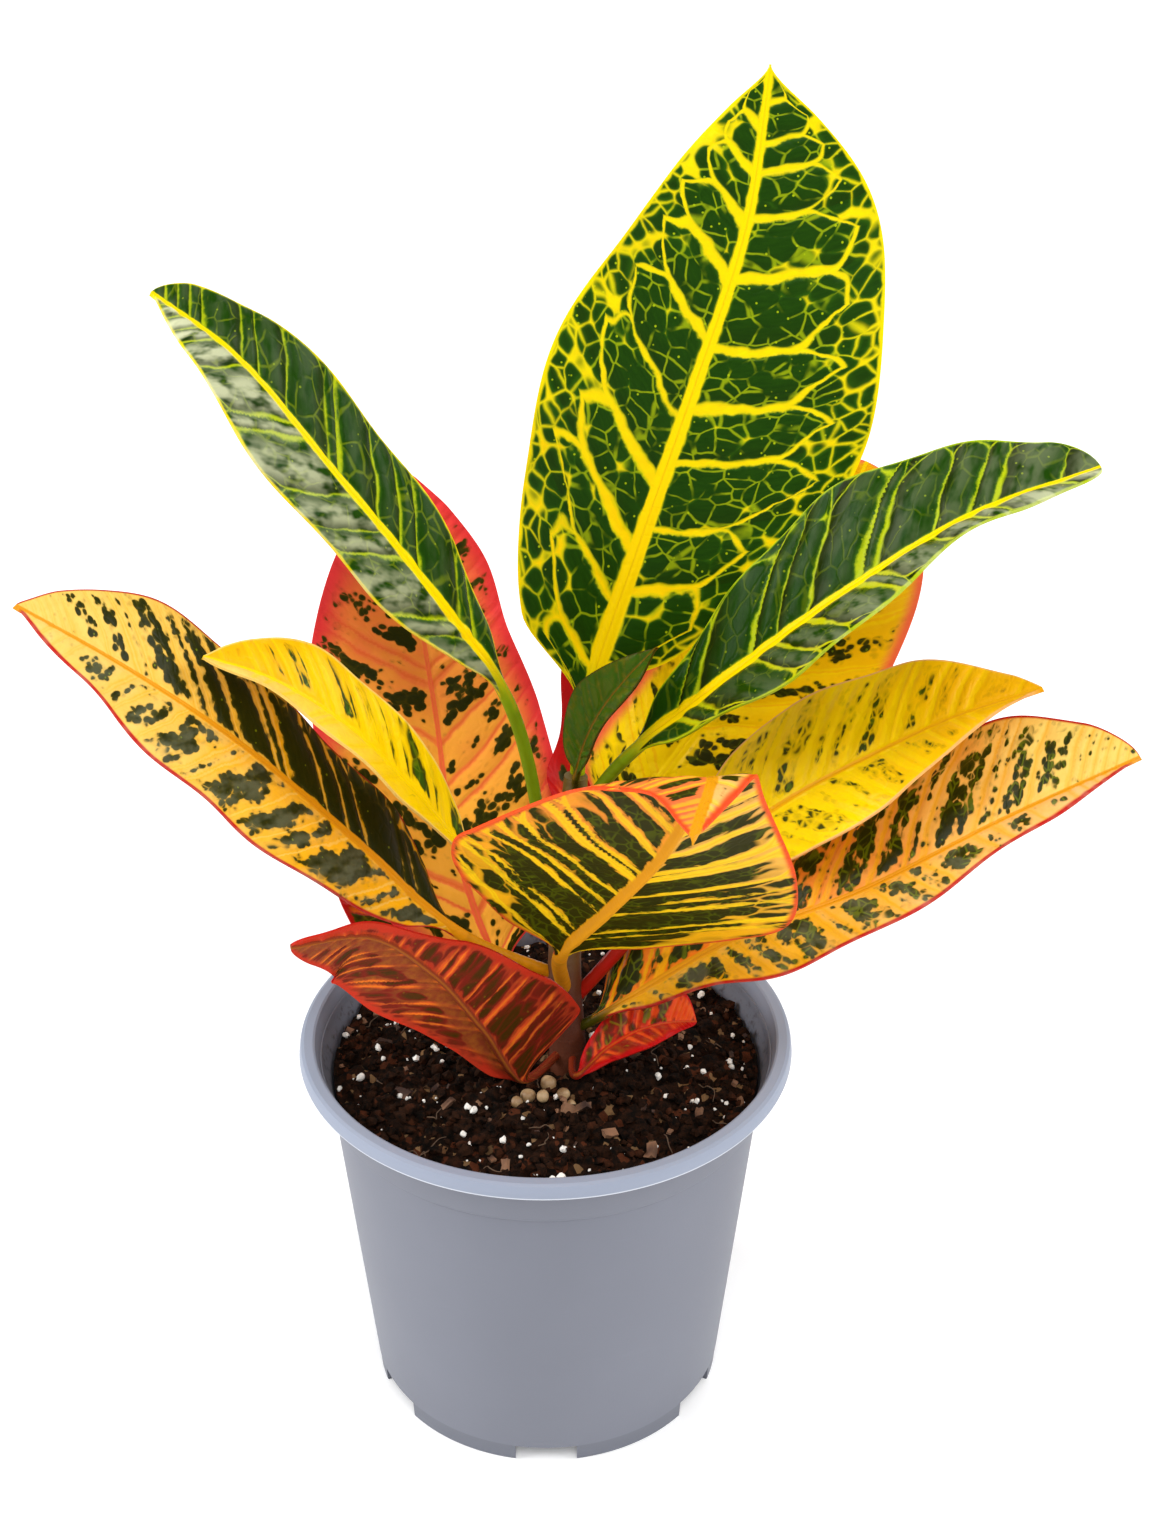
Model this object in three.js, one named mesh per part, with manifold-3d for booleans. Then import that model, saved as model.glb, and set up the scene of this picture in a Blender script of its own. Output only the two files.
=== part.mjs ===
// A potted croton in a 13 cm nursery pot: pot, potting mix, stem with its roots, and fifteen leaves.
// Millimetres, +Z up. The origin is the centre of the pot's foot, on the surface that it stands on, and
// the plant's front faces -Y.
import * as THREE from "three";
import { mergeVertices } from "three/addons/utils/BufferGeometryUtils.js";
import Module from "manifold-3d";

const wasm = await Module();
wasm.setup();

// ---- Driving dimensions ----------------------------------------------------------------------
const GAP = 0.3; // clearance kept between touching pieces

const POT_HEIGHT = 108;
const POT_SIDES = 48;
const RIM_RADIUS = 65;
const RIM_INNER_RADIUS = 60.7;
const RIM_DROP = 4.4; // height of the lip's outer face
const BAND_DROP = 17; // the band under the lip ends this far below the rim
const BAND_STEP = 0.5;
const LIP_START = 9; // the inner wall flares out over this height to meet the lip
const WALL_TOP_RADIUS = 59;
const WALL_FOOT_RADIUS = 48;
const WALL = 1.6;
const FOOT_HEIGHT = 5;
const FOOT_RADIUS = 47.4;
const FOOT_THICK = 2.4;
const FLOOR = 1.8;
const HUB_RADIUS = 9; // the floor's centre stands on this hub
const NOTCHES = 6;
const NOTCH_ANGLE = 20; // degrees between two feet
const DRAIN_RADIUS = 3.5;
const DRAIN_CIRCLE = 34;

const SOIL_TOP = 97.5;
const SOIL_DOME = 2.2; // the mix is mounded round the stem
const SOIL_BUMP = 0.8;
const GRANULES = 26;
const PRILLS = 6; // round feed pellets beside the stem

const STEM_PATH = [
  [6, -3, 58],
  [6, -4, 80],
  [6, -4, 100],
  [5, -2, 126],
  [6, 1, 156],
  [8, 3, 184],
];
const STEM_RADII = [2.2, 4.2, 5, 4.4, 3.8, 3];
const STEM_SIDES = 10;
const ROOTS = 5;
const ROOT_REACH = 34;
const ROOT_DROP = 26;
const ROOT_RADIUS = 1.7;

const BLADE = 0.7; // thickness of a leaf
const BLADE_STATIONS = 15;
const STALK_STATIONS = 3;
const TIP_CROWD = 1.25; // how much closer together the stations are near the tip
const TIP_ROUND = 0.07; // the last share of a blade, over which its tip is rounded
const BASE_BLEND = 0.12; // the first share of a blade, over which the round stalk turns flat
const RIB_TAPER = 0.65; // how much of its width the rib loses by the tip
const RIB_DEPTH = 0.6; // how far the rib stands out below, as a share of its width
const STALK_RADIUS = 0.55; // as a share of the rib's width
const STALK_ARC = 1.4; // half the angle, in radians, that each face of the stalk takes up

// Each leaf: path = where its stalk leaves the stem, the blade's base, points along the rib, and the
// tip. face = which way the upper side looks, at even steps from the base to the tip. left and right
// = half-widths at sixths of the blade's length, seen from above with the tip up. fold lifts both
// halves off flat, in degrees, cup bends them down again as a share of the width, wave is the height
// of the edge's ripples, and stalk is the width of the rib at the base. lobe is how wide the left and
// the right half are at the very base, and blunt is how wide they still are where the tip is rounded
// off, 0 where they are left out.
const LEAVES = {
  leaf_tall: {
    path: [[8, 4, 178], [10, 7, 200], [23, 13, 242], [36, 21, 280], [48, 31, 317], [53, 41, 352]],
    face: [[-0.1, -1, 0.2], [0.1, -1, 0.15]],
    left: [26, 33, 36, 29, 19], right: [23, 38, 44, 38, 27],
    fold: 10, cup: 0.08, wave: 1.5, ripples: 3, stalk: 3.4, lobe: [9, 0],
  },
  leaf_upper_left: {
    path: [[3, 0, 140], [-8, 2, 204], [-28, -2, 240], [-48, -5, 270], [-69, -4, 298], [-88, 2, 311]],
    face: [[0.5, -0.6, 0.7], [0.3, -0.5, 1]],
    left: [10, 17, 17, 16.5, 9], right: [10, 15.5, 17, 15.5, 12],
    fold: 14, cup: 0.12, wave: 1, ripples: 3, stalk: 3, blunt: [0, 6],
  },
  leaf_upper_right: {
    path: [[9, 1, 174], [20, -6, 194], [46, -13, 222], [71, -18, 246], [98, -20, 266], [127, -16, 276]],
    face: [[-0.5, -0.45, 0.75], [-0.2, -0.2, 1]],
    left: [12, 20, 26, 24, 17], right: [11, 19, 20.5, 11, 6.5],
    fold: 24, cup: 0.12, wave: 1, ripples: 4, stalk: 3, blunt: [9, 6],
  },
  leaf_low_left: {
    path: [[4, -1, 126], [-21, -6, 142], [-46, -17, 177], [-70, -27, 209], [-94, -35, 234], [-117, -40, 253]],
    face: [[0.4, -0.5, 0.7], [0.1, -0.4, 1]],
    left: [13, 20, 22, 19, 10.5], right: [13, 16.5, 18.5, 21.5, 17.5],
    fold: 14, cup: 0.15, wave: 1, ripples: 4, stalk: 3, blunt: [0, 3],
  },
  leaf_yellow_left: {
    path: [[5, -2, 156], [-15, -8, 165], [-32, -16, 192], [-47, -22, 213], [-63, -26, 227], [-78, -28, 234]],
    face: [[0.6, -0.4, 0.7], [0.3, -0.2, 1]],
    left: [5.5, 10.5, 10.5, 8, 4], right: [9, 12.5, 13.5, 14, 9.5],
    fold: 24, cup: 0.12, wave: 0.5, ripples: 3, stalk: 1.8, blunt: [2, 1],
  },
  leaf_red_back_left: {
    path: [[5, -2, 116], [-10, 3, 124], [-23, 13, 156], [-28, 25, 189], [-32, 35, 216], [-34, 44, 248]],
    face: [[0.2, -1, 0.4], [0.1, -1, 0.3]],
    left: [22, 30, 32, 30, 22], right: [28, 30, 27, 22, 18],
    fold: 10, cup: 0.1, wave: 1.5, ripples: 3, stalk: 2.8, lobe: [0, 12], blunt: [8, 3],
  },
  leaf_gold_back_right: {
    path: [[7, 1, 140], [18, 6, 162], [35, 15, 185], [53, 24, 207], [70, 34, 229], [81, 43, 252]],
    face: [[-0.3, -1, 0.6], [-0.2, -1, 0.5]],
    left: [20, 20, 20, 20, 17], right: [15, 28, 33, 30, 24],
    fold: 10, cup: 0.1, wave: 1.5, ripples: 3, stalk: 2.8, lobe: [18, 0], blunt: [7, 13],
  },
  leaf_yellow_right: {
    path: [[6, -1, 117], [40, -8, 165], [60, -14, 187], [80, -19, 203], [97, -23, 215], [117, -25, 224]],
    face: [[-0.4, -0.6, 0.7], [-0.2, -0.4, 1]],
    left: [19, 22, 21, 19, 12], right: [14, 18, 16, 12.5, 4],
    fold: 16, cup: 0.12, wave: 0.8, ripples: 3, stalk: 3.2, lobe: [8, 0], blunt: [2, 0],
  },
  leaf_low_right: {
    path: [[6, -3, 110], [13, -6, 116], [46, -18, 148], [78, -28, 170], [109, -36, 195], [138, -40, 214]],
    face: [[-0.3, -0.4, 0.8], [-0.1, -0.4, 1]],
    left: [20, 20, 24, 27, 23], right: [9, 17.5, 16, 12, 6],
    fold: 18, cup: 0.12, wave: 1, ripples: 4, stalk: 2.6, lobe: [26, 0], blunt: [8, 0],
  },
  leaf_front: {
    path: [[5, -4, 124], [4, -14, 141], [16, -36, 170], [27, -58, 198], [37, -82, 233], [32, -104, 231]],
    face: [[0.1, 0.8, 0.6], [0.1, 0.8, 0.6], [-0.04, 0.7, 0.7], [-0.08, -0.2, 1]],
    left: [25, 40, 33, 14, 6], right: [26, 43, 44.5, 31, 14],
    fold: 6, cup: 0.1, wave: 1, ripples: 2, stalk: 3.6,
  },
  leaf_red_front_left: {
    path: [[5, -5, 106], [-5, -16, 104], [-16, -31, 132], [-27, -45, 158], [-41, -55, 175], [-58, -61, 176]],
    face: [[-0.5, 0.8, 0.3], [-0.4, 0.8, 0.4]],
    left: [23.5, 17.5, 11.5, 5, 3.5], right: [7, 12.5, 17, 17.5, 17],
    fold: 8, cup: 0.1, wave: 0.6, ripples: 3, stalk: 2.2, blunt: [2, 5], lobe: [24, 0],
  },
  leaf_red_low_right: {
    path: [[7, -4, 105], [8, -16, 105], [16, -11, 110], [24, -6, 112], [32, -1, 111], [40, 4, 108]],
    face: [[-0.1, -0.6, 0.8], [-0.1, -0.6, 0.8]],
    left: [4, 7, 9.5, 10.5, 9.5], right: [3, 5.5, 6.5, 5, 3],
    fold: 20, cup: 0.1, wave: 0.5, ripples: 2, stalk: 1.8, blunt: [7, 1],
  },
  leaf_young: {
    path: [[8, 2, 180], [8, -3, 187], [10, -6, 198], [14, -9, 209], [20, -11, 219], [27, -12, 228]],
    face: [[-0.6, -0.7, 0.2], [-0.6, -0.6, 0.4]],
    left: [5, 8, 9, 7, 4], right: [2.5, 3, 3.5, 4, 3.5],
    fold: 20, cup: 0.1, wave: 0.3, ripples: 2, stalk: 1.8,
  },
  leaf_red_back: {
    path: [[7, 4, 152], [6, 10, 166], [13, 34, 186], [23, 56, 197], [34, 78, 205], [46, 100, 212]],
    face: [[-0.1, -0.8, 0.7], [0, -0.3, 1]],
    left: [7, 13, 16, 15, 9], right: [11, 18, 20, 18, 11],
    fold: 14, cup: 0.12, wave: 1, ripples: 3, stalk: 2.2, lobe: [12, 0],
  },
  leaf_back_low: {
    path: [[4, -1, 106], [-14, 6, 112], [-26, 13, 119], [-37, 21, 126], [-48, 28, 134], [-57, 36, 141]],
    face: [[0.2, -0.8, 0.8], [0.1, -0.5, 1]],
    left: [8, 12, 13, 11, 7], right: [8, 12, 13, 11, 7],
    fold: 14, cup: 0.12, wave: 0.8, ripples: 3, stalk: 2,
  },
};

// ---- Colours of the real surfaces --------------------------------------------------------------
const finish = (color, roughness) =>
  new THREE.MeshStandardMaterial({ color, roughness, metalness: 0 });
const POT_GREY = finish(0x8f98a6, 0.5);
const SOIL_BROWN = finish(0x2a1a12, 0.95);
const STEM_GREEN = finish(0x8a8f3a, 0.6);
const LEAF_GREEN = finish(0x1f4a1c, 0.35);
const LEAF_GOLD = finish(0xe0a820, 0.4);
const LEAF_YELLOW = finish(0xf2c81e, 0.4);
const LEAF_RED = finish(0xc8452a, 0.4);
const LEAF_FINISH = {
  leaf_tall: LEAF_GREEN,
  leaf_upper_left: LEAF_GREEN,
  leaf_upper_right: LEAF_GREEN,
  leaf_young: LEAF_GREEN,
  leaf_yellow_left: LEAF_YELLOW,
  leaf_yellow_right: LEAF_YELLOW,
  leaf_red_back_left: LEAF_RED,
  leaf_red_front_left: LEAF_RED,
  leaf_red_low_right: LEAF_RED,
  leaf_red_back: LEAF_RED,
};

// ---- Geometry helpers ----------------------------------------------------------------------------
const vec = (p) => new THREE.Vector3(...p);
const clamp01 = (x) => Math.min(1, Math.max(0, x));
const smooth = (x) => clamp01(x) ** 2 * (3 - 2 * clamp01(x));

// A seeded random number between 0 and 1, the same on every run.
function seeded(seed) {
  let state = seed;
  return () => {
    state = (state * 1664525 + 1013904223) % 4294967296;
    return state / 4294967296;
  };
}

// A closed geometry as a solid: equal points become one, and the faces that this flattens are left out.
function toSolid(geometry) {
  const bare = geometry.clone();
  bare.deleteAttribute("normal");
  bare.deleteAttribute("uv");
  const merged = mergeVertices(bare, 1e-4);
  const index = merged.index.array;
  const faces = [];
  for (let i = 0; i < index.length; i += 3) {
    const [a, b, c] = index.slice(i, i + 3);
    if (a !== b && b !== c && c !== a) {
      faces.push(a, b, c);
    }
  }
  return new wasm.Manifold(
    new wasm.Mesh({
      numProp: 3,
      vertProperties: merged.attributes.position.array,
      triVerts: new Uint32Array(faces),
    }),
  );
}

function toGeometry(solid) {
  const { numProp, numVert, vertProperties, triVerts } = solid.getMesh();
  const position = new Float32Array(numVert * 3);
  for (let i = 0; i < numVert; i++) {
    position.set(vertProperties.subarray(i * numProp, i * numProp + 3), i * 3);
  }
  const geometry = new THREE.BufferGeometry();
  geometry.setAttribute("position", new THREE.BufferAttribute(position, 3));
  geometry.setIndex(new THREE.BufferAttribute(new Uint32Array(triVerts), 1));
  geometry.computeVertexNormals();
  return geometry;
}

const largestBody = (solid) =>
  solid.decompose().reduce((a, b) => (b.volume() > a.volume() ? b : a));

// A closed skin through rings of equally many points, with a fan over each end. The quads of the first
// `turned` points are split by their other diagonal.
function loft(rings, turned = 0) {
  const size = rings[0].length;
  const points = rings.flat();
  const faces = [];
  for (let r = 0; r + 1 < rings.length; r++) {
    for (let i = 0; i < size; i++) {
      const a = r * size + i;
      const b = r * size + ((i + 1) % size);
      if (i < turned) {
        faces.push(a, b, a + size, b, b + size, a + size);
      } else {
        faces.push(a, b, b + size, a, b + size, a + size);
      }
    }
  }
  const middle = (ring) =>
    ring.reduce((sum, p) => sum.add(p), new THREE.Vector3()).divideScalar(size);
  const first = points.push(middle(rings[0])) - 1;
  const last = points.push(middle(rings.at(-1))) - 1;
  const lastRing = (rings.length - 1) * size;
  for (let i = 0; i < size; i++) {
    const next = (i + 1) % size;
    faces.push(first, next, i, last, lastRing + i, lastRing + next);
  }
  const geometry = new THREE.BufferGeometry().setFromPoints(points);
  geometry.setIndex(faces);
  return geometry;
}

// A round tube along a curve whose radius follows a list, one value for each point of the curve.
function taperedTube(curve, radii, stations, sides) {
  const rings = [];
  for (let i = 0; i <= stations; i++) {
    const t = i / stations;
    const at = curve.getPoint(t);
    const along = curve.getTangent(t);
    const side = new THREE.Vector3(0, 1, 0).cross(along).normalize();
    const other = along.clone().cross(side);
    const place = t * (radii.length - 1);
    const k = Math.min(Math.floor(place), radii.length - 2);
    const radius = radii[k] + (radii[k + 1] - radii[k]) * (place - k);
    rings.push(
      Array.from({ length: sides }, (_, j) => {
        const angle = (2 * Math.PI * j) / sides;
        return at
          .clone()
          .addScaledVector(side, radius * Math.cos(angle))
          .addScaledVector(other, radius * Math.sin(angle));
      }),
    );
  }
  return toSolid(loft(rings));
}

const lathe = (profile) => {
  const points = profile.map(([r, z]) => new THREE.Vector2(r, z));
  return toSolid(new THREE.LatheGeometry(points, POT_SIDES).rotateX(Math.PI / 2));
};

// ---- Pot -------------------------------------------------------------------------------------------
const wallRadius = (z) =>
  WALL_FOOT_RADIUS +
  ((WALL_TOP_RADIUS - WALL_FOOT_RADIUS) * (z - FOOT_HEIGHT)) /
    (POT_HEIGHT - RIM_DROP - FOOT_HEIGHT);
const FLOOR_TOP = FOOT_HEIGHT + FLOOR;

function potProfile() {
  const bandFoot = POT_HEIGHT - BAND_DROP;
  const lipFoot = POT_HEIGHT - RIM_DROP;
  const flareFoot = POT_HEIGHT - LIP_START;
  return [
    [0, 0],
    [HUB_RADIUS, 0],
    [HUB_RADIUS, FOOT_HEIGHT],
    [FOOT_RADIUS - FOOT_THICK, FOOT_HEIGHT],
    [FOOT_RADIUS - FOOT_THICK, 0],
    [FOOT_RADIUS, 0],
    [FOOT_RADIUS + 0.3, FOOT_HEIGHT],
    [WALL_FOOT_RADIUS, FOOT_HEIGHT + 0.6],
    [wallRadius(bandFoot) - BAND_STEP, bandFoot],
    [wallRadius(bandFoot), bandFoot + 0.5],
    [WALL_TOP_RADIUS, lipFoot],
    [RIM_RADIUS - 0.6, lipFoot],
    [RIM_RADIUS, lipFoot + 0.7],
    [RIM_RADIUS - 0.3, POT_HEIGHT - 1],
    [RIM_RADIUS - 1.4, POT_HEIGHT],
    [RIM_INNER_RADIUS + 0.6, POT_HEIGHT],
    [RIM_INNER_RADIUS, POT_HEIGHT - 0.6],
    [wallRadius(flareFoot) - WALL, flareFoot],
    [wallRadius(FLOOR_TOP) - WALL, FLOOR_TOP],
    [0, FLOOR_TOP],
  ];
}

function makePot() {
  let pot = lathe(potProfile());
  const width = 2 * FOOT_RADIUS * Math.sin(THREE.MathUtils.degToRad(NOTCH_ANGLE / 2));
  for (let i = 0; i < NOTCHES; i++) {
    const turn = THREE.MathUtils.degToRad(-90 + (360 / NOTCHES) * i);
    const notch = new THREE.BoxGeometry(20, width, 2 * FOOT_HEIGHT)
      .translate(FOOT_RADIUS, 0, 0)
      .rotateZ(turn);
    const drain = new THREE.CylinderGeometry(DRAIN_RADIUS, DRAIN_RADIUS, 4 * FLOOR, 12)
      .rotateX(Math.PI / 2)
      .translate(DRAIN_CIRCLE, 0, FOOT_HEIGHT + FLOOR / 2)
      .rotateZ(turn);
    pot = pot.subtract(toSolid(notch)).subtract(toSolid(drain));
  }
  return pot;
}

// ---- Stem and roots --------------------------------------------------------------------------------
const stemCurve = new THREE.CatmullRomCurve3(STEM_PATH.map(vec), false, "centripetal");

// The stem with its main roots, each piece thicker than real by extra, so that it can also cut a hole.
function makeStem(extra) {
  let stem = taperedTube(stemCurve, STEM_RADII.map((r) => r + extra), 15, STEM_SIDES);
  for (let i = 0; i < ROOTS; i++) {
    const turn = (2 * Math.PI * i) / ROOTS + 0.4;
    const start = vec(STEM_PATH[0]).add(new THREE.Vector3(0, 0, 9 + 2 * (i % 3)));
    const root = new THREE.QuadraticBezierCurve3(
      start,
      start.clone().add(vec([0.6 * ROOT_REACH * Math.cos(turn), 0.6 * ROOT_REACH * Math.sin(turn), -4])),
      start.clone().add(vec([ROOT_REACH * Math.cos(turn), ROOT_REACH * Math.sin(turn), -ROOT_DROP])),
    );
    stem = stem.add(taperedTube(root, [ROOT_RADIUS + extra, 0.5 + extra], 5, 6));
  }
  return stem;
}

// ---- Soil ------------------------------------------------------------------------------------------
// Height of the potting mix at a place: mounded at the middle, and lumpy.
function soilHeight(x, y) {
  const r = Math.hypot(x, y);
  const lumps =
    Math.sin(x * 0.43 + 1.3) * Math.cos(y * 0.37) +
    0.6 * Math.sin(x * 0.91 - y * 0.83) +
    0.5 * Math.cos(x * 0.71 + y * 1.13 + 2);
  return SOIL_TOP + SOIL_DOME * (1 - (r / RIM_INNER_RADIUS) ** 2) + SOIL_BUMP * lumps;
}

function makeSoil() {
  const RINGS = 7;
  const topRadius = wallRadius(SOIL_TOP) - WALL - GAP;
  const profile = [
    [0, FLOOR_TOP + GAP],
    [wallRadius(FLOOR_TOP) - WALL - GAP, FLOOR_TOP + GAP],
    [topRadius - 0.4, SOIL_TOP - 3],
  ];
  for (let i = 0; i < RINGS; i++) {
    profile.push([topRadius * (1 - i / RINGS), SOIL_TOP]);
  }
  profile.push([0, SOIL_TOP]);
  const points = profile.map(([r, z]) => new THREE.Vector2(r, z));
  const block = new THREE.LatheGeometry(points, POT_SIDES).rotateX(Math.PI / 2);
  const position = block.attributes.position;
  for (let i = 0; i < position.count; i++) {
    const [x, y, z] = [position.getX(i), position.getY(i), position.getZ(i)];
    if (z > SOIL_TOP - 1) {
      position.setZ(i, soilHeight(x, y));
    }
  }
  let soil = toSolid(block);
  const random = seeded(7);
  const lay = (x, y, radius) =>
    toSolid(
      new THREE.IcosahedronGeometry(radius, 0)
        .rotateX(6 * random())
        .rotateZ(6 * random())
        .translate(x, y, soilHeight(x, y) + 0.3 * radius),
    );
  for (let i = 0; i < GRANULES; i++) {
    const radius = 1 + 1.2 * random();
    const turn = 2 * Math.PI * random();
    const reach = 14 + 38 * Math.sqrt(random());
    soil = soil.add(lay(reach * Math.cos(turn), reach * Math.sin(turn), radius));
  }
  for (let i = 0; i < PRILLS; i++) {
    soil = soil.add(lay(-4 + 4.6 * (i % 3), -16 - 5 * Math.floor(i / 3) - (i % 2), 1.8));
  }
  return largestBody(soil.subtract(makeStem(GAP)));
}

// ---- Leaves ----------------------------------------------------------------------------------------
// A smooth value between the evenly spaced ones of a list, at t from 0 to 1.
function through(values, t) {
  const place = clamp01(t) * (values.length - 1);
  const k = Math.min(Math.floor(place), values.length - 2);
  const f = place - k;
  const [b, c] = [values[k], values[k + 1]];
  const a = values[k - 1] ?? 2 * b - c;
  const d = values[k + 2] ?? 2 * c - b;
  return b + 0.5 * f * (c - a + f * (2 * a - 5 * b + 4 * c - d + f * (3 * (b - c) + d - a)));
}

// The ring of points round a leaf at one place along its path. blade is 0 on the stalk and 1 past the
// blade's base; t runs from the blade's base to its tip.
function leafRing(leaf, curve, u, t, blade) {
  const at = curve.getPoint(u);
  const along = curve.getTangent(u);
  const face = vec([0, 1, 2].map((k) => through(leaf.face.map((v) => v[k]), t)));
  const normal = face.addScaledVector(along, -face.dot(along)).normalize();
  const side = along.clone().cross(normal);
  const fold = THREE.MathUtils.degToRad(leaf.fold);
  const rib = leaf.stalk * (1 - RIB_TAPER * clamp01(t));
  const [leftTip, rightTip] = leaf.blunt ?? [0, 0];
  const [leftLobe, rightLobe] = leaf.lobe ?? [0, 0];
  const halves = {
    left: [leftLobe, ...leaf.left, leftTip],
    right: [rightLobe, ...leaf.right, rightTip],
  };
  const round = Math.sqrt(1 - clamp01((t - 1 + TIP_ROUND) / TIP_ROUND) ** 2);
  const width = (s) => Math.max(round * through(s < 0 ? halves.left : halves.right, t), 0.5 * rib);
  const ribEdge = (s) => s * Math.min(0.25, (0.5 * rib) / width(s));
  const columns = [-1, -0.5, ribEdge(-1), 0, ribEdge(1), 0.5, 1];
  const place = (s, under) => {
    const out = Math.abs(s) * width(s);
    const ripple =
      leaf.wave * Math.sin(2 * Math.PI * leaf.ripples * t + (s < 0 ? 0 : 2)) * Math.abs(s) ** 3 *
      Math.min(1, 6 * t, 6 * (1 - t));
    const lift = out * Math.sin(fold) - leaf.cup * out * Math.abs(s) + ripple;
    const bladeDrop = under ? BLADE + (s === 0 ? RIB_DEPTH * rib : 0) : 0;
    const roundSide = STALK_RADIUS * rib * Math.sin(s * STALK_ARC);
    const roundLift = STALK_RADIUS * rib * Math.cos(s * STALK_ARC) * (under ? -1 : 1);
    const x = THREE.MathUtils.lerp(roundSide, Math.sign(s) * out * Math.cos(fold), blade);
    const z = THREE.MathUtils.lerp(roundLift, lift - bladeDrop, blade);
    return at.clone().addScaledVector(side, x).addScaledVector(normal, z);
  };
  const upper = columns.map((s) => place(s, false));
  const under = columns.map((s) => place(s, true)).reverse();
  return [...under, ...upper];
}

function makeLeaf(leaf, stemCutter) {
  const curve = new THREE.CatmullRomCurve3(leaf.path.map(vec), false, "centripetal");
  const base = 1 / (leaf.path.length - 1); // the path's second point is the blade's base
  const rings = [];
  for (let i = 0; i < STALK_STATIONS; i++) {
    rings.push(leafRing(leaf, curve, (base * i) / STALK_STATIONS, 0, 0));
  }
  for (let i = 0; i <= BLADE_STATIONS; i++) {
    const t = 1 - (1 - i / BLADE_STATIONS) ** TIP_CROWD;
    rings.push(leafRing(leaf, curve, base + (1 - base) * t, t, smooth(t / BASE_BLEND)));
  }
  return largestBody(toSolid(loft(rings, rings[0].length / 2)).subtract(stemCutter));
}

// ---- The plant ---------------------------------------------------------------------------------------
const potted = new THREE.Group();

function addNode(name, solid, material) {
  const mesh = new THREE.Mesh(toGeometry(solid), material);
  mesh.name = name;
  potted.add(mesh);
}

addNode("pot", makePot(), POT_GREY);
addNode("soil", makeSoil(), SOIL_BROWN);
addNode("stem", makeStem(0), STEM_GREEN);
const stemCutter = makeStem(GAP);
for (const [name, leaf] of Object.entries(LEAVES)) {
  addNode(name, makeLeaf(leaf, stemCutter), LEAF_FINISH[name] ?? LEAF_GOLD);
}

export default potted;
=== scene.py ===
"""Dresses the packed potted croton: a fine pot, its mix with grains on top, a stem and veined leaves.

Run as a script. Metres, +Z up, in the packed model's own frame. The leaves follow the same named
values as the solids do, given in millimetres. Their veins and blotches are worked out in the materials
from each leaf's own measures: where a point lies along and across the blade, and how far from its
nearest side vein.
"""

import math
import random

import bpy
import numpy as np
from mathutils import Euler, Matrix, Vector, noise


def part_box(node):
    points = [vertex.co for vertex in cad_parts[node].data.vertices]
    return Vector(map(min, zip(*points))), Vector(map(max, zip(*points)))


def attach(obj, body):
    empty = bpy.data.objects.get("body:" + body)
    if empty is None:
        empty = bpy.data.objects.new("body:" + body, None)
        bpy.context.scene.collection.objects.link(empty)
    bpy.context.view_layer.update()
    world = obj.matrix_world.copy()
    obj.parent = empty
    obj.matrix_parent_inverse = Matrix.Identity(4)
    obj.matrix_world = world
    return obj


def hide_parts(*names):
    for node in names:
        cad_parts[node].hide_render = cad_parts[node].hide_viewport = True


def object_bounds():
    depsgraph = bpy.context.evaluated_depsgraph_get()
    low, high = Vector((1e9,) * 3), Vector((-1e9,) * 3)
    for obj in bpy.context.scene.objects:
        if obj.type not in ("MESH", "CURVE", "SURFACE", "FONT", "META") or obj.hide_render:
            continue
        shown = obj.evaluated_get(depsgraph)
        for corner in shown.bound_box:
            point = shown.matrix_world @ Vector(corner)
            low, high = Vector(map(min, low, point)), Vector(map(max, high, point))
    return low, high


bl_info = {
    "name": "Potted Croton",
    "version": (1, 0, 0),
    "blender": (4, 5, 0),
    "location": "3D Viewport > Sidebar > Croton",
    "description": "Builds a potted croton with veined leaves on its packed frame",
    "category": "Add Mesh",
}

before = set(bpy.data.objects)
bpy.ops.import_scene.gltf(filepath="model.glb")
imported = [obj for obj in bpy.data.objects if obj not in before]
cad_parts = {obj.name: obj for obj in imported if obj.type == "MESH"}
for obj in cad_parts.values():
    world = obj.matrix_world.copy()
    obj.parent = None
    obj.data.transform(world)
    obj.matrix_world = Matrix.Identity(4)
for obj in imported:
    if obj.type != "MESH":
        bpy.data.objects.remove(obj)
CAD_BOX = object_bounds()
MM = 0.001
SOIL_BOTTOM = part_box("soil")[0][2]

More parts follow.
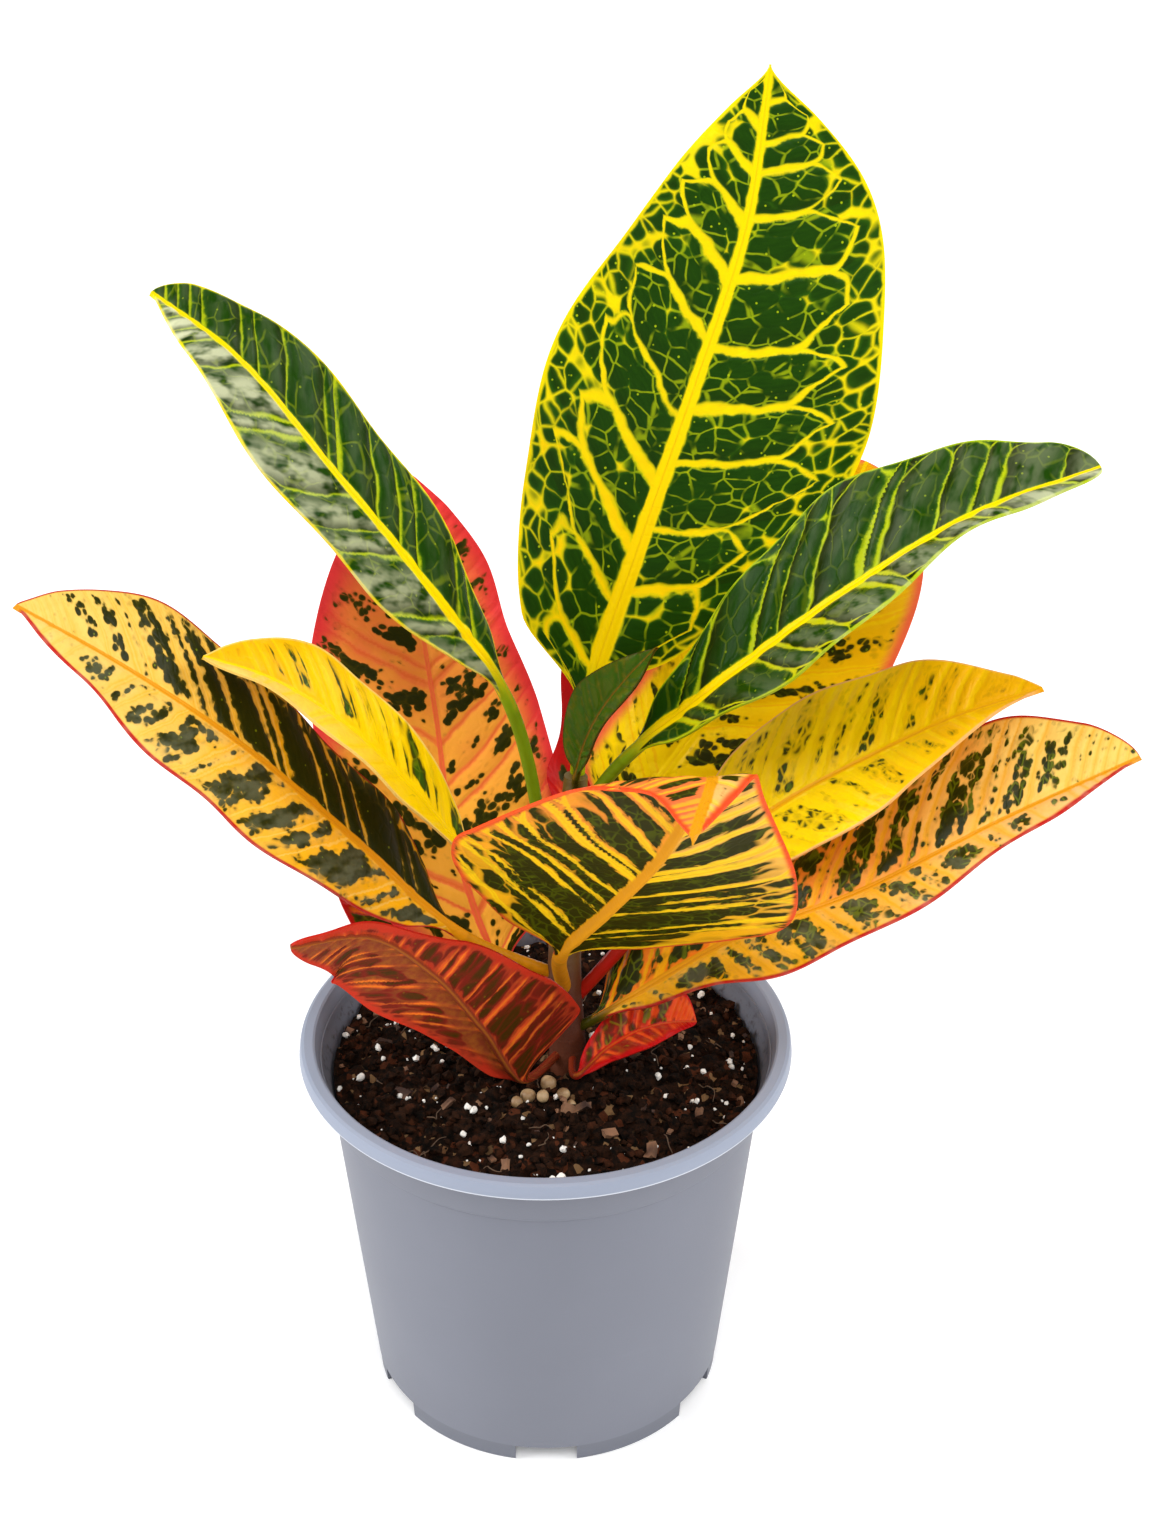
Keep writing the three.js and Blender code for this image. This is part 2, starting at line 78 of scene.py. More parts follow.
# ---- The leaves' forms, in millimetres ---------------------------------------------------------
# path = where the stalk leaves the stem, the blade's base, points along the rib, and the tip. face =
# which way the upper side looks, at even steps from the base to the tip. left and right = half-widths
# at sixths of the blade, seen from above with the tip up. fold lifts both halves off flat, in degrees,
# cup bends them down again as a share of the width, wave is the height of the edge's ripples, and
# stalk is the width of the rib at the base. lobe is how wide the left and the right half are at the
# very base, and blunt is how wide they still are where the tip is rounded off.
LEAF_FORMS = {
    "leaf_tall": {
        "path": [(8, 4, 178), (10, 7, 200), (23, 13, 242), (36, 21, 280), (48, 31, 317), (53, 41, 352)],
        "face": [(-0.1, -1, 0.2), (0.1, -1, 0.15)],
        "left": [26, 33, 36, 29, 19], "right": [23, 38, 44, 38, 27],
        "fold": 10, "cup": 0.08, "wave": 1.5, "ripples": 3, "stalk": 3.4, "lobe": (9, 0),
    },
    "leaf_upper_left": {
        "path": [(3, 0, 140), (-8, 2, 204), (-28, -2, 240), (-48, -5, 270), (-69, -4, 298), (-88, 2, 311)],
        "face": [(0.5, -0.6, 0.7), (0.3, -0.5, 1)],
        "left": [10, 17, 17, 16.5, 9], "right": [10, 15.5, 17, 15.5, 12],
        "fold": 14, "cup": 0.12, "wave": 1, "ripples": 3, "stalk": 3, "blunt": (0, 6),
    },
    "leaf_upper_right": {
        "path": [(9, 1, 174), (20, -6, 194), (46, -13, 222), (71, -18, 246), (98, -20, 266),
                 (127, -16, 276)],
        "face": [(-0.5, -0.45, 0.75), (-0.2, -0.2, 1)],
        "left": [12, 20, 26, 24, 17], "right": [11, 19, 20.5, 11, 6.5],
        "fold": 24, "cup": 0.12, "wave": 1, "ripples": 4, "stalk": 3, "blunt": (9, 6),
    },
    "leaf_low_left": {
        "path": [(4, -1, 126), (-21, -6, 142), (-46, -17, 177), (-70, -27, 209), (-94, -35, 234),
                 (-117, -40, 253)],
        "face": [(0.4, -0.5, 0.7), (0.1, -0.4, 1)],
        "left": [13, 20, 22, 19, 10.5], "right": [13, 16.5, 18.5, 21.5, 17.5],
        "fold": 14, "cup": 0.15, "wave": 1, "ripples": 4, "stalk": 3, "blunt": (0, 3),
    },
    "leaf_yellow_left": {
        "path": [(5, -2, 156), (-15, -8, 165), (-32, -16, 192), (-47, -22, 213), (-63, -26, 227),
                 (-78, -28, 234)],
        "face": [(0.6, -0.4, 0.7), (0.3, -0.2, 1)],
        "left": [5.5, 10.5, 10.5, 8, 4], "right": [9, 12.5, 13.5, 14, 9.5],
        "fold": 24, "cup": 0.12, "wave": 0.5, "ripples": 3, "stalk": 1.8, "blunt": (2, 1),
    },
    "leaf_red_back_left": {
        "path": [(5, -2, 116), (-10, 3, 124), (-23, 13, 156), (-28, 25, 189), (-32, 35, 216),
                 (-34, 44, 248)],
        "face": [(0.2, -1, 0.4), (0.1, -1, 0.3)],
        "left": [22, 30, 32, 30, 22], "right": [28, 30, 27, 22, 18],
        "fold": 10, "cup": 0.1, "wave": 1.5, "ripples": 3, "stalk": 2.8, "lobe": (0, 12), "blunt": (8, 3),
    },
    "leaf_gold_back_right": {
        "path": [(7, 1, 140), (18, 6, 162), (35, 15, 185), (53, 24, 207), (70, 34, 229), (81, 43, 252)],
        "face": [(-0.3, -1, 0.6), (-0.2, -1, 0.5)],
        "left": [20, 20, 20, 20, 17], "right": [15, 28, 33, 30, 24],
        "fold": 10, "cup": 0.1, "wave": 1.5, "ripples": 3, "stalk": 2.8, "lobe": (18, 0), "blunt": (7, 13),
    },
    "leaf_yellow_right": {
        "path": [(6, -1, 117), (40, -8, 165), (60, -14, 187), (80, -19, 203), (97, -23, 215),
                 (117, -25, 224)],
        "face": [(-0.4, -0.6, 0.7), (-0.2, -0.4, 1)],
        "left": [19, 22, 21, 19, 12], "right": [14, 18, 16, 12.5, 4],
        "fold": 16, "cup": 0.12, "wave": 0.8, "ripples": 3, "stalk": 3.2, "lobe": (8, 0), "blunt": (2, 0),
    },
    "leaf_low_right": {
        "path": [(6, -3, 110), (13, -6, 116), (46, -18, 148), (78, -28, 170), (109, -36, 195),
                 (138, -40, 214)],
        "face": [(-0.3, -0.4, 0.8), (-0.1, -0.4, 1)],
        "left": [20, 20, 24, 27, 23], "right": [9, 17.5, 16, 12, 6],
        "fold": 18, "cup": 0.12, "wave": 1, "ripples": 4, "stalk": 2.6, "lobe": (26, 0), "blunt": (8, 0),
    },
    "leaf_front": {
        "path": [(5, -4, 124), (4, -14, 141), (16, -36, 170), (27, -58, 198), (37, -82, 233),
                 (32, -104, 231)],
        "face": [(0.1, 0.8, 0.6), (0.1, 0.8, 0.6), (-0.04, 0.7, 0.7), (-0.08, -0.2, 1)],
        "left": [25, 40, 33, 14, 6], "right": [26, 43, 44.5, 31, 14],
        "fold": 6, "cup": 0.1, "wave": 1, "ripples": 2, "stalk": 3.6,
    },
    "leaf_red_front_left": {
        "path": [(5, -5, 106), (-5, -16, 104), (-16, -31, 132), (-27, -45, 158), (-41, -55, 175),
                 (-58, -61, 176)],
        "face": [(-0.5, 0.8, 0.3), (-0.4, 0.8, 0.4)],
        "left": [23.5, 17.5, 11.5, 5, 3.5], "right": [7, 12.5, 17, 17.5, 17],
        "fold": 8, "cup": 0.1, "wave": 0.6, "ripples": 3, "stalk": 2.2, "blunt": (2, 5), "lobe": (24, 0),
    },
    "leaf_red_low_right": {
        "path": [(7, -4, 105), (8, -16, 105), (16, -11, 110), (24, -6, 112), (32, -1, 111), (40, 4, 108)],
        "face": [(-0.1, -0.6, 0.8), (-0.1, -0.6, 0.8)],
        "left": [4, 7, 9.5, 10.5, 9.5], "right": [3, 5.5, 6.5, 5, 3],
        "fold": 20, "cup": 0.1, "wave": 0.5, "ripples": 2, "stalk": 1.8, "blunt": (7, 1),
    },
    "leaf_young": {
        "path": [(8, 2, 180), (8, -3, 187), (10, -6, 198), (14, -9, 209), (20, -11, 219), (27, -12, 228)],
        "face": [(-0.6, -0.7, 0.2), (-0.6, -0.6, 0.4)],
        "left": [5, 8, 9, 7, 4], "right": [2.5, 3, 3.5, 4, 3.5],
        "fold": 20, "cup": 0.1, "wave": 0.3, "ripples": 2, "stalk": 1.8,
    },
    "leaf_red_back": {
        "path": [(7, 4, 152), (6, 10, 166), (13, 34, 186), (23, 56, 197), (34, 78, 205), (46, 100, 212)],
        "face": [(-0.1, -0.8, 0.7), (0, -0.3, 1)],
        "left": [7, 13, 16, 15, 9], "right": [11, 18, 20, 18, 11],
        "fold": 14, "cup": 0.12, "wave": 1, "ripples": 3, "stalk": 2.2, "lobe": (12, 0),
    },
    "leaf_back_low": {
        "path": [(4, -1, 106), (-14, 6, 112), (-26, 13, 119), (-37, 21, 126), (-48, 28, 134),
                 (-57, 36, 141)],
        "face": [(0.2, -0.8, 0.8), (0.1, -0.5, 1)],
        "left": [8, 12, 13, 11, 7], "right": [8, 12, 13, 11, 7],
        "fold": 14, "cup": 0.12, "wave": 0.8, "ripples": 3, "stalk": 2,
    },
}

# ---- The leaves' markings ----------------------------------------------------------------------
# Lengths in millimetres. What a leaf doesn't state is taken from PLAIN_LOOK. Four values in a row are
# for the left half's base and tip, then the right half's.
# laterals = where the side veins of the left and the right half leave the rib, as shares of the blade,
# or how many there are. lean = how steeply they rise, in degrees, left and right. fork = how far out
# they fork, as a share of the width. vein = their colour, and half-width by the rib and by the edge.
# mid = the rib's colour, and its half-width at the base and the tip. stalk = the stalk's colour.
# rim = the edge's colour, its width, and how softly it ends. ground = the colours under everything.
# clear = how far the blotches stay off every vein, and far = where they stop growing with the distance
# to a vein. blob = the size of a blotch across and along a side vein, and vary = how strongly it
# varies. fray = how ragged it is, lobes = how far it breaks into round dots, and soft = how wide its
# edge is. halo = the colour and strength of the shade round it.
# net = the size of a cell across and along a side vein, and the half-width of its lines by the rib and
# by the edge. dark = the blotches' colours, in their middle and by their edge. lace = the cell size and
# the strength of the finest net in the dark, where size 0 means the same cells as the net's, and
# pores = the strength of pale dots in it. bloom = the strength of a painted sheen, a pale veil that
# stands for the lights' reflection. thread = the colour and strength of a hairline on every side vein.
# gloss = roughness of the upper side, shine = how much it mirrors. quilt = how much the blade bulges
# between the side veins, and crease = how dark the painted shade beside each of them is. band = the
# colour of a plain strip beside the rib, and its width left and right.
PLAIN_LOOK = {
    "slot": "leaf_gold", "laterals": (13, 13), "lean": (38, 38), "fork": 1, "vein": ("gold", 0.6, 0.3),
    "mid": ("gold", 1.4, 0.4), "stalk": "olive", "rim": ("crimson", 0.4, 0.5),
    "ground": ("gold", "gold", "gold", "gold"), "clear": (0.4, 0.4, 0.4, 0.4), "far": 2.2,
    "blob": (3, 9), "vary": (2, 2, 2, 2), "fray": 0.7, "lobes": (0, 0, 0, 0), "soft": 0.3,
    "halo": ("olive", 0.3), "net": (4, 7, -0.6, 0.3), "dark": ("black_green", "olive"),
    "lace": (2.6, 0.2), "pores": 0.3, "painted_sheen": (0, 0, 0, 0), "thread": ("coral", 0), "gloss": 0.34,
    "shine": 0.1, "quilt": 1, "crease_shade": 0.2, "band": ("amber", 0, 0),
}
LEAF_LOOKS = {
    "leaf_tall": {
        "slot": "leaf_green", "fork": 0.5, "lean": (40, 14), "vein": ("yellow", 1.05, 0.4),
        "laterals": ([0.06, 0.16, 0.24, 0.34, 0.45, 0.56, 0.66, 0.75, 0.83, 0.9],
                     [0.08, 0.19, 0.28, 0.385, 0.47, 0.56, 0.67, 0.76, 0.83, 0.88, 0.94]),
        "mid": ("yellow", 3.0, 0.8), "stalk": "lime", "rim": ("yellow", 0.7, 0.9),
        "ground": ("yellow", "yellow", "yellow", "yellow"), "clear": (0, 0, 0, 0), "far": 3,
        "blob": (4, 7), "vary": (1, 1, 1, 1), "fray": 0.15, "soft": 0.5, "halo": ("lime", 0.5),
        "net": (4.2, 5.5, -1.0, 0.06), "dark": ("deep_green", "leaf_green"), "lace": (0, 0.58),
        "pores": 0.8, "gloss": 0.4, "shine": 0.06, "quilt": 0.6, "crease_shade": 0.3,
    },
    "leaf_upper_left": {
        "slot": "leaf_green", "laterals": (11, 13), "lean": (40, 44), "fork": 0.9,
        "vein": ("lime", 0.34, 0.18), "mid": ("yellow", 1.8, 0.5), "stalk": "lime_stalk",
        "rim": ("yellow", 0.35, 0.3), "ground": ("lime", "lime", "lime", "lime"),
        "clear": (-0.2, -0.2, -0.2, -0.2), "far": 3, "blob": (4, 7), "vary": (0.5, 0.5, 0.5, 0.5),
        "fray": 0.15, "soft": 0.5, "halo": ("lime", 0.4), "net": (5, 7, -2.5, -1.8),
        "dark": ("deep_green", "leaf_green"), "lace": (0, 0.22), "pores": 0.4,
        "painted_sheen": (0.4, 1, 0.03, 0.05), "gloss": 0.26, "shine": 0.05, "quilt": 1.8, "crease_shade": 0.7,
    },
    "leaf_upper_right": {
        "slot": "leaf_green", "laterals": (12, 12), "lean": (36, 34), "fork": 0.8,
        "vein": ("lime", 0.4, 0.2), "mid": ("yellow", 2.3, 0.5), "stalk": "lime_stalk",
        "rim": ("lime", 0.35, 0.4), "ground": ("lime", "lime", "yellow", "lime"),
        "clear": (-0.2, -0.2, 0, -0.1), "far": 3, "blob": (4, 7), "vary": (0.6, 0.6, 0.6, 0.6),
        "fray": 0.15, "soft": 0.5, "halo": ("lime", 0.4), "net": (5, 7, -2.5, -1.2),
        "dark": ("deep_green", "leaf_green"), "lace": (0, 0.12), "pores": 0.4,
        "painted_sheen": (0, 0.16, 0, 0.8), "gloss": 0.25, "shine": 0.04, "quilt": 2, "crease_shade": 0.9,
    },
    "leaf_low_left": {
        "laterals": (13, 16), "lean": (38, 44), "vein": ("gold", 0.5, 0.3), "mid": ("amber", 1.6, 0.5),
        "stalk": "amber", "rim": ("crimson", 0.3, 0.5), "lace": (2.6, 0),
        "ground": ("gold", "straw", "gold", "straw"),
        "clear": (0.7, 2.6, -0.6, 2.6), "blob": (3.2, 7), "vary": (2.4, 3, 0.4, 3.6), "fray": 0.5,
        "lobes": (1, 1.6, 0.1, 2.4), "net": (3.5, 6, -2.5, 0), "painted_sheen": (0.1, 0.1, 0, 0),
        "thread": ("straw", 0.5),
    },
    "leaf_yellow_left": {
        "slot": "leaf_yellow", "laterals": (12, 12), "lean": (40, 44), "vein": ("yellow", 0.6, 0.4),
        "mid": ("yellow", 1.2, 0.4), "stalk": "yellow", "rim": ("straw", 0.3, 0.5),
        "ground": ("yellow", "straw", "yellow", "gold"), "clear": (3.4, 3.6, 0.9, 3.4),
        "blob": (1.3, 12), "vary": (2.6, 2, 3, 2), "fray": 1.2, "dark": ("leaf_green", "olive"),
        "net": (3, 9, -0.5, 0.3), "thread": ("amber", 0.12), "quilt": 0.5,
    },
    "leaf_red_back_left": {
        "slot": "leaf_red", "laterals": (11, 11), "lean": (36, 36), "vein": ("salmon", 0.5, 0.3),
        "mid": ("salmon", 1.2, 0.4), "stalk": "crimson", "rim": ("scarlet", 0.8, 9),
        "ground": ("tangerine", "salmon", "tangerine", "salmon"), "clear": (2.0, 2.2, 2.0, 2.2),
        "far": 2.4, "blob": (6, 9), "vary": (5, 5, 5, 5), "fray": 0.25, "lobes": (1.4, 1.4, 1.4, 1.4),
        "net": (2.8, 4, -1, 0.1), "halo": ("rust", 0.2), "lace": (2.6, 0), "pores": 0.05,
        "thread": ("coral", 0.3), "quilt": 1.1,
    },
    "leaf_gold_back_right": {
        "laterals": (11, 11), "lean": (34, 34), "vein": ("yellow", 0.8, 0.5), "mid": ("yellow", 1.8, 0.5),
        "stalk": "gold", "rim": ("salmon", 0.6, 3.5), "ground": ("yellow", "gold", "yellow", "gold"),
        "clear": (1.7, 3.3, 1.7, 3.1), "far": 2.6, "blob": (4.5, 8), "vary": (4, 4, 4, 4), "fray": 0.3,
        "lobes": (1.6, 2, 1.6, 2), "net": (4, 6, -0.8, 0.5), "lace": (2.6, 0.1),
        "thread": ("orange", 0.25),
    },
    "leaf_yellow_right": {
        "slot": "leaf_yellow", "laterals": (12, 12), "lean": (36, 40), "vein": ("yellow", 0.6, 0.4),
        "mid": ("gold", 1.1, 0.4), "stalk": "crimson", "rim": ("peach", 0.25, 0.4),
        "ground": ("yellow", "gold", "yellow", "gold"), "clear": (1.3, 2.8, 1.3, 3.2), "far": 2,
        "blob": (2.4, 9), "vary": (3, 3, 3.2, 3), "fray": 0.8, "lobes": (0.9, 0.9, 0.9, 0.9),
        "dark": ("leaf_green", "olive"), "net": (2, 3, 0.05, 0.3), "thread": ("amber", 0.08),
        "quilt": 0.5,
    },
    "leaf_low_right": {
        "laterals": (16, 16), "lean": (34, 36), "vein": ("gold", 0.6, 0.4), "mid": ("amber", 1.5, 0.5),
        "stalk": "olive", "rim": ("crimson", 0.4, 0.7), "ground": ("orange", "straw", "gold", "peach"),
        "clear": (0.5, 1.9, 0.9, 1.6), "blob": (3, 8), "vary": (3, 4, 3, 3), "fray": 0.5,
        "lobes": (1.2, 2.2, 1.2, 1.6), "net": (3.5, 6, -0.8, 0.3), "painted_sheen": (0, 0, 0.1, 0.1),
        "thread": ("amber", 0.3),
    },
    "leaf_front": {
        "laterals": (16, 16), "lean": (34, 38), "fork": 0.85, "vein": ("yellow", 0.8, 0.58),
        "mid": ("amber", 2.3, 1.2), "stalk": "amber", "rim": ("coral", 0.5, 1.6),
        "ground": ("gold", "peach", "gold", "salmon"), "clear": (-0.4, 2.6, -0.3, 2.2), "far": 2.5,
        "blob": (3, 18), "vary": (1.8, 2.6, 1.8, 2.4), "fray": 1.2, "net": (5, 14, -1.2, 0.5),
        "dark": ("umber", "umber"), "lace": (2.6, 0.1), "pores": 0.1, "thread": ("gold", 0.5),
        "shine": 0.06, "quilt": 1.3,
    },
    "leaf_red_front_left": {
        "slot": "leaf_red", "laterals": (14, 15), "lean": (12, 52), "vein": ("coral", 0.5, 0.3),
        "mid": ("maroon", 1.1, 0.6), "stalk": "maroon", "rim": ("crimson", 1.2, 3),
        "ground": ("crimson", "crimson", "rust", "maroon"), "clear": (0.1, 1.4, 0.1, 0.8), "far": 2.3,
        "blob": (3.5, 9), "vary": (2.4, 2, 4, 3), "fray": 0.9, "net": (2.6, 9, -0.5, 0.1),
        "dark": ("umber", "maroon"), "halo": ("maroon", 0.5), "lace": (2.6, 0), "pores": 0.1,
        "band": ("maroon", 0, 4), "thread": ("orange", 0.6), "shine": 0.06, "quilt": 1.2,
    },
    "leaf_red_low_right": {
        "slot": "leaf_red", "laterals": (8, 8), "lean": (30, 30), "vein": ("coral", 0.5, 0.3),
        "mid": ("crimson", 0.8, 0.4), "stalk": "maroon", "rim": ("crimson", 0.8, 1.6),
        "ground": ("crimson", "coral", "maroon", "crimson"), "clear": (-0.2, 0.8, 1.6, 2.4), "blob": (4, 6),
        "vary": (3, 3, 2, 2), "fray": 0.6, "lobes": (1, 1, 0, 0), "dark": ("umber", "maroon"),
        "halo": ("maroon", 0.5), "thread": ("orange", 0.15), "shine": 0.06,
    },
    "leaf_young": {
        "slot": "leaf_green", "laterals": (9, 9), "vein": ("leaf_green", 0.2, 0.1),
        "mid": ("olive", 0.5, 0.2), "rim": ("olive", 0.2, 0.3),
        "ground": ("leaf_green", "leaf_green", "leaf_green", "leaf_green"), "clear": (0, 0, 0, 0),
        "blob": (4, 7), "vary": (0.5, 0.5, 0.5, 0.5), "fray": 0.2, "soft": 0.6,
        "dark": ("young_green", "leaf_green"), "lace": (2.6, 0), "pores": 0, "quilt": 0.5,
    },
    "leaf_red_back": {
        "slot": "leaf_red", "laterals": (12, 12), "vein": ("coral", 0.5, 0.3), "mid": ("coral", 1.1, 0.4),
        "stalk": "crimson", "rim": ("crimson", 2, 4), "ground": ("crimson", "coral", "crimson", "coral"),
        "clear": (2, 2, 2, 2), "blob": (3.2, 6), "vary": (5, 5, 5, 5), "fray": 1, "lace": (2.6, 0),
        "thread": ("coral", 0.6),
    },
    "leaf_back_low": {
        "slot": "leaf_red", "laterals": (10, 10), "vein": ("orange", 0.5, 0.3), "mid": ("coral", 0.9, 0.3),
        "stalk": "crimson", "rim": ("crimson", 1, 1.5), "ground": ("rust", "crimson", "rust", "crimson"),
        "clear": (0.4, 0.6, 0.4, 0.6),
    },
}


def paint(code):
    """Linear colour values of a six-digit colour code."""
    shades = [int(code[k : k + 2], 16) / 255 for k in (0, 2, 4)]
    return tuple(c / 12.92 if c <= 0.04045 else ((c + 0.055) / 1.055) ** 2.4 for c in shades)


def colour(name, description, code):
    """A colour that a user can change, with its default as a six-digit colour code."""
    return bpy.props.FloatVectorProperty(
        name=name, description=description, subtype="COLOR", min=0, max=1, default=paint(code)
    )


# ---- What a user would change ------------------------------------------------------------------
class CrotonPotSettings(bpy.types.PropertyGroup):
    """The pot's plastic and how finely it is turned."""

    shade: colour("Body", "Colour of the pot's plastic", "6C6F7B")
    # The lip's colour is painted paler for the light that falls on its upper faces.
    lit_lip_shade: colour("Lip", "Colour of the paler, worn lip", "8F97A9")
    segments: bpy.props.IntProperty(
        name="Segments", description="Faces round the pot", default=192, min=24, max=384
    )
    roughness: bpy.props.FloatProperty(
        name="Roughness", description="How matte the plastic is", default=0.5, min=0, max=1,
        subtype="FACTOR"
    )


class CrotonSoilSettings(bpy.types.PropertyGroup):
    """The potting mix and what lies on it."""

    dark_shade: colour("Wet mix", "Colour of the mix in its hollows", "080503")
    light_shade: colour("Dry mix", "Colour of the mix on its crumbs", "2A170C")
    crumbs: bpy.props.IntProperty(name="Crumbs", description="Dark crumbs", default=2000, min=0)
    grains: bpy.props.IntProperty(name="Perlite", description="White grains", default=230, min=0)
    chips: bpy.props.IntProperty(name="Chips", description="Bark chips", default=70, min=0)
    fibres: bpy.props.IntProperty(name="Fibres", description="Thin roots", default=26, min=0)
    seed: bpy.props.IntProperty(name="Seed", description="Start of the draws", default=5, min=1)
    relief: bpy.props.FloatProperty(
        name="Relief", description="Height of the crumbly surface", default=0.0011, unit="LENGTH"
    )


class CrotonLeafSettings(bpy.types.PropertyGroup):
    """The leaves' thickness, relief and the colours that their markings draw on."""

    thickness: bpy.props.FloatProperty(
        name="Thickness", description="Of a blade", default=0.7 * MM, unit="LENGTH", precision=4
    )
    quilting: bpy.props.FloatProperty(
        name="Quilting", description="Height of the tissue between side veins",
        default=0.45 * MM, unit="LENGTH", precision=5
    )
    columns: bpy.props.IntProperty(
        name="Columns", description="Points across one side of a blade", default=61, min=9, max=121
    )
    stations: bpy.props.IntProperty(
        name="Stations", description="Steps along a blade", default=170, min=20, max=300
    )
    yellow: colour("Yellow", "Bright vein yellow", "FFD800")
    lime: colour("Lime", "Yellow-green of thin veins", "A9BC0E")
    straw: colour("Straw", "Pale yellow tips", "F4CC66")
    gold: colour("Gold", "Gold ground", "F3AE04")
    amber: colour("Amber", "Brownish orange of ribs", "E09410")
    tangerine: colour("Tangerine", "Bright orange by the rib", "FFB43C")
    orange: colour("Orange", "Orange ground", "F07812")
    peach: colour("Peach", "Pale orange tips", "F3B56A")
    coral: colour("Coral", "Red-orange ground", "E54A20")
    maroon: colour("Maroon", "Brownish red strips", "7A1E14")
    crimson: colour("Crimson", "Red edges", "B81212")
    rust: colour("Rust", "Brown-red edge of a blotch", "70220A")
    olive: colour("Olive", "Edge of a blotch", "3F3B05")
    leaf_green: colour("Leaf green", "Lighter green", "2F5A08")
    deep_green: colour("Deep green", "Main green", "123203")
    young_green: colour("Young green", "Young leaf", "4A5A08")
    black_green: colour("Black green", "Middle of a blotch", "1C2204")
    lime_stalk: colour("Lime stalk", "Green stalks", "7E9A14")
    salmon: colour("Salmon", "Pinkish orange ground", "F4683E")
    scarlet: colour("Scarlet", "Bright red edges", "EA3A3C")
    umber: colour("Umber", "Brown-green blotch", "302E02")
    # The colour of the painted sheen, a pale veil that stands for the lights' reflection on the leaves.
    sheen_colour: colour("Wax", "Pale film on a leaf", "D6D8AE")


class CrotonStageSettings(bpy.types.PropertyGroup):
    """The floor, the lights and the camera."""

    floor_shade: colour("Floor", "Colour of the plain floor", "FAFAFA")
    floor_size: bpy.props.FloatProperty(
        name="Floor size", description="Side of the floor", default=12, unit="LENGTH"
    )
    key_strength: bpy.props.FloatProperty(name="Key", description="Soft light, left", default=2.2)
    fill_strength: bpy.props.FloatProperty(name="Fill", description="Soft light, right", default=1.45)
    front_strength: bpy.props.FloatProperty(name="Front", description="Soft light, front", default=1.4)
    back_strength: bpy.props.FloatProperty(name="Back", description="Soft light, behind", default=0.4)
    sky: bpy.props.FloatProperty(name="Sky", description="Strength of the room light", default=0.4)
    lens: bpy.props.FloatProperty(
        name="Lens", description="Focal length of the camera's lens", default=60.94, unit="CAMERA"
    )
    pitch: bpy.props.FloatProperty(
        name="Pitch", description="How far the camera looks down", default=math.radians(30),
        subtype="ANGLE"
    )
    camera_place: bpy.props.FloatVectorProperty(
        name="Camera", description="Where the camera stands", default=(0.008, -0.5603, 0.5115),
        subtype="TRANSLATION", unit="LENGTH"
    )


# ---- Making meshes -----------------------------------------------------------------------------
def deselect():
    """Leaves edit mode and selects nothing."""
    if bpy.context.object and bpy.context.object.mode != "OBJECT":
        bpy.ops.object.mode_set(mode="OBJECT")
    bpy.ops.object.select_all(action="DESELECT")


def choose(piece, *others):
    """Selects these objects only, with the first one active."""
    deselect()
    for one in (piece, *others):
        one.select_set(True)
    bpy.context.view_layer.objects.active = piece


def settle(piece, name):
    """Names a piece and puts its place, turn and size into its mesh."""
    choose(piece)
    piece.name = piece.data.name = name
    bpy.ops.object.transform_apply(location=True, rotation=True, scale=True)
    return piece


def join(name, pieces):
    """Makes one piece of several."""
    choose(pieces[0], *pieces[1:])
    bpy.ops.object.join()
    return settle(pieces[0], name)


def soften(piece, degrees):
    """Shades a piece smooth, and keeps edges that turn more than this sharp."""
    choose(piece)
    bpy.ops.object.shade_smooth_by_angle(angle=math.radians(degrees))


def skin(name, rings, marks=None):
    """A closed skin through rings of points, from a grid whose last column closes on its first.

    rings is an array of stations, points round a ring, and x, y, z. marks are named arrays of three
    values for each of those points, kept as attributes that the materials read. Both ends are capped.
    """
    stations, around, _ = rings.shape
    deselect()
    bpy.ops.mesh.primitive_grid_add(x_subdivisions=around, y_subdivisions=stations - 1, size=2)
    piece = bpy.context.object
    mesh = piece.data
    flat = np.empty(len(mesh.vertices) * 3)
    mesh.vertices.foreach_get("co", flat)
    flat = flat.reshape(-1, 3)
    column = np.rint((flat[:, 0] + 1) / 2 * around).astype(int) % around
    row = np.rint((flat[:, 1] + 1) / 2 * (stations - 1)).astype(int)
    mesh.vertices.foreach_set("co", rings[row, column].ravel())
    for mark, values in (marks or {}).items():
        layer = mesh.attributes.new(mark, "FLOAT_VECTOR", "POINT")
        layer.data.foreach_set("vector", values[row, column].astype(np.float32).ravel())
    bpy.ops.object.mode_set(mode="EDIT")
    bpy.ops.mesh.select_all(action="SELECT")
    bpy.ops.mesh.remove_doubles(threshold=1e-7)
    bpy.ops.mesh.fill_holes(sides=0)
    bpy.ops.object.mode_set(mode="OBJECT")
    mesh.update()
    return settle(piece, name)


def dress(piece, node, material):
    """Gives a piece its finish, puts it under the root body, and hides the solid of the node it stands for,
    if any.
    """
    piece.data.materials.clear()
    piece.data.materials.append(material)
    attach(piece, "root")
    if node:
        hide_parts(node)


def smooth(x):
    """Runs smoothly from 0 to 1 as x does, and stays there outside."""
    x = np.clip(x, 0, 1)
    return x * x * (3 - 2 * x)


def through(values, t):
    """A smooth value between the evenly spaced ones of a list, at t from 0 to 1."""
    place = min(max(t, 0), 1) * (len(values) - 1)
    k = min(int(place), len(values) - 2)
    f = place - k
    b, c = values[k], values[k + 1]
    a = values[k - 1] if k > 0 else 2 * b - c
    d = values[k + 2] if k + 2 < len(values) else 2 * c - b
    return b + 0.5 * f * (c - a + f * (2 * a - 5 * b + 4 * c - d + f * (3 * (b - c) + d - a)))


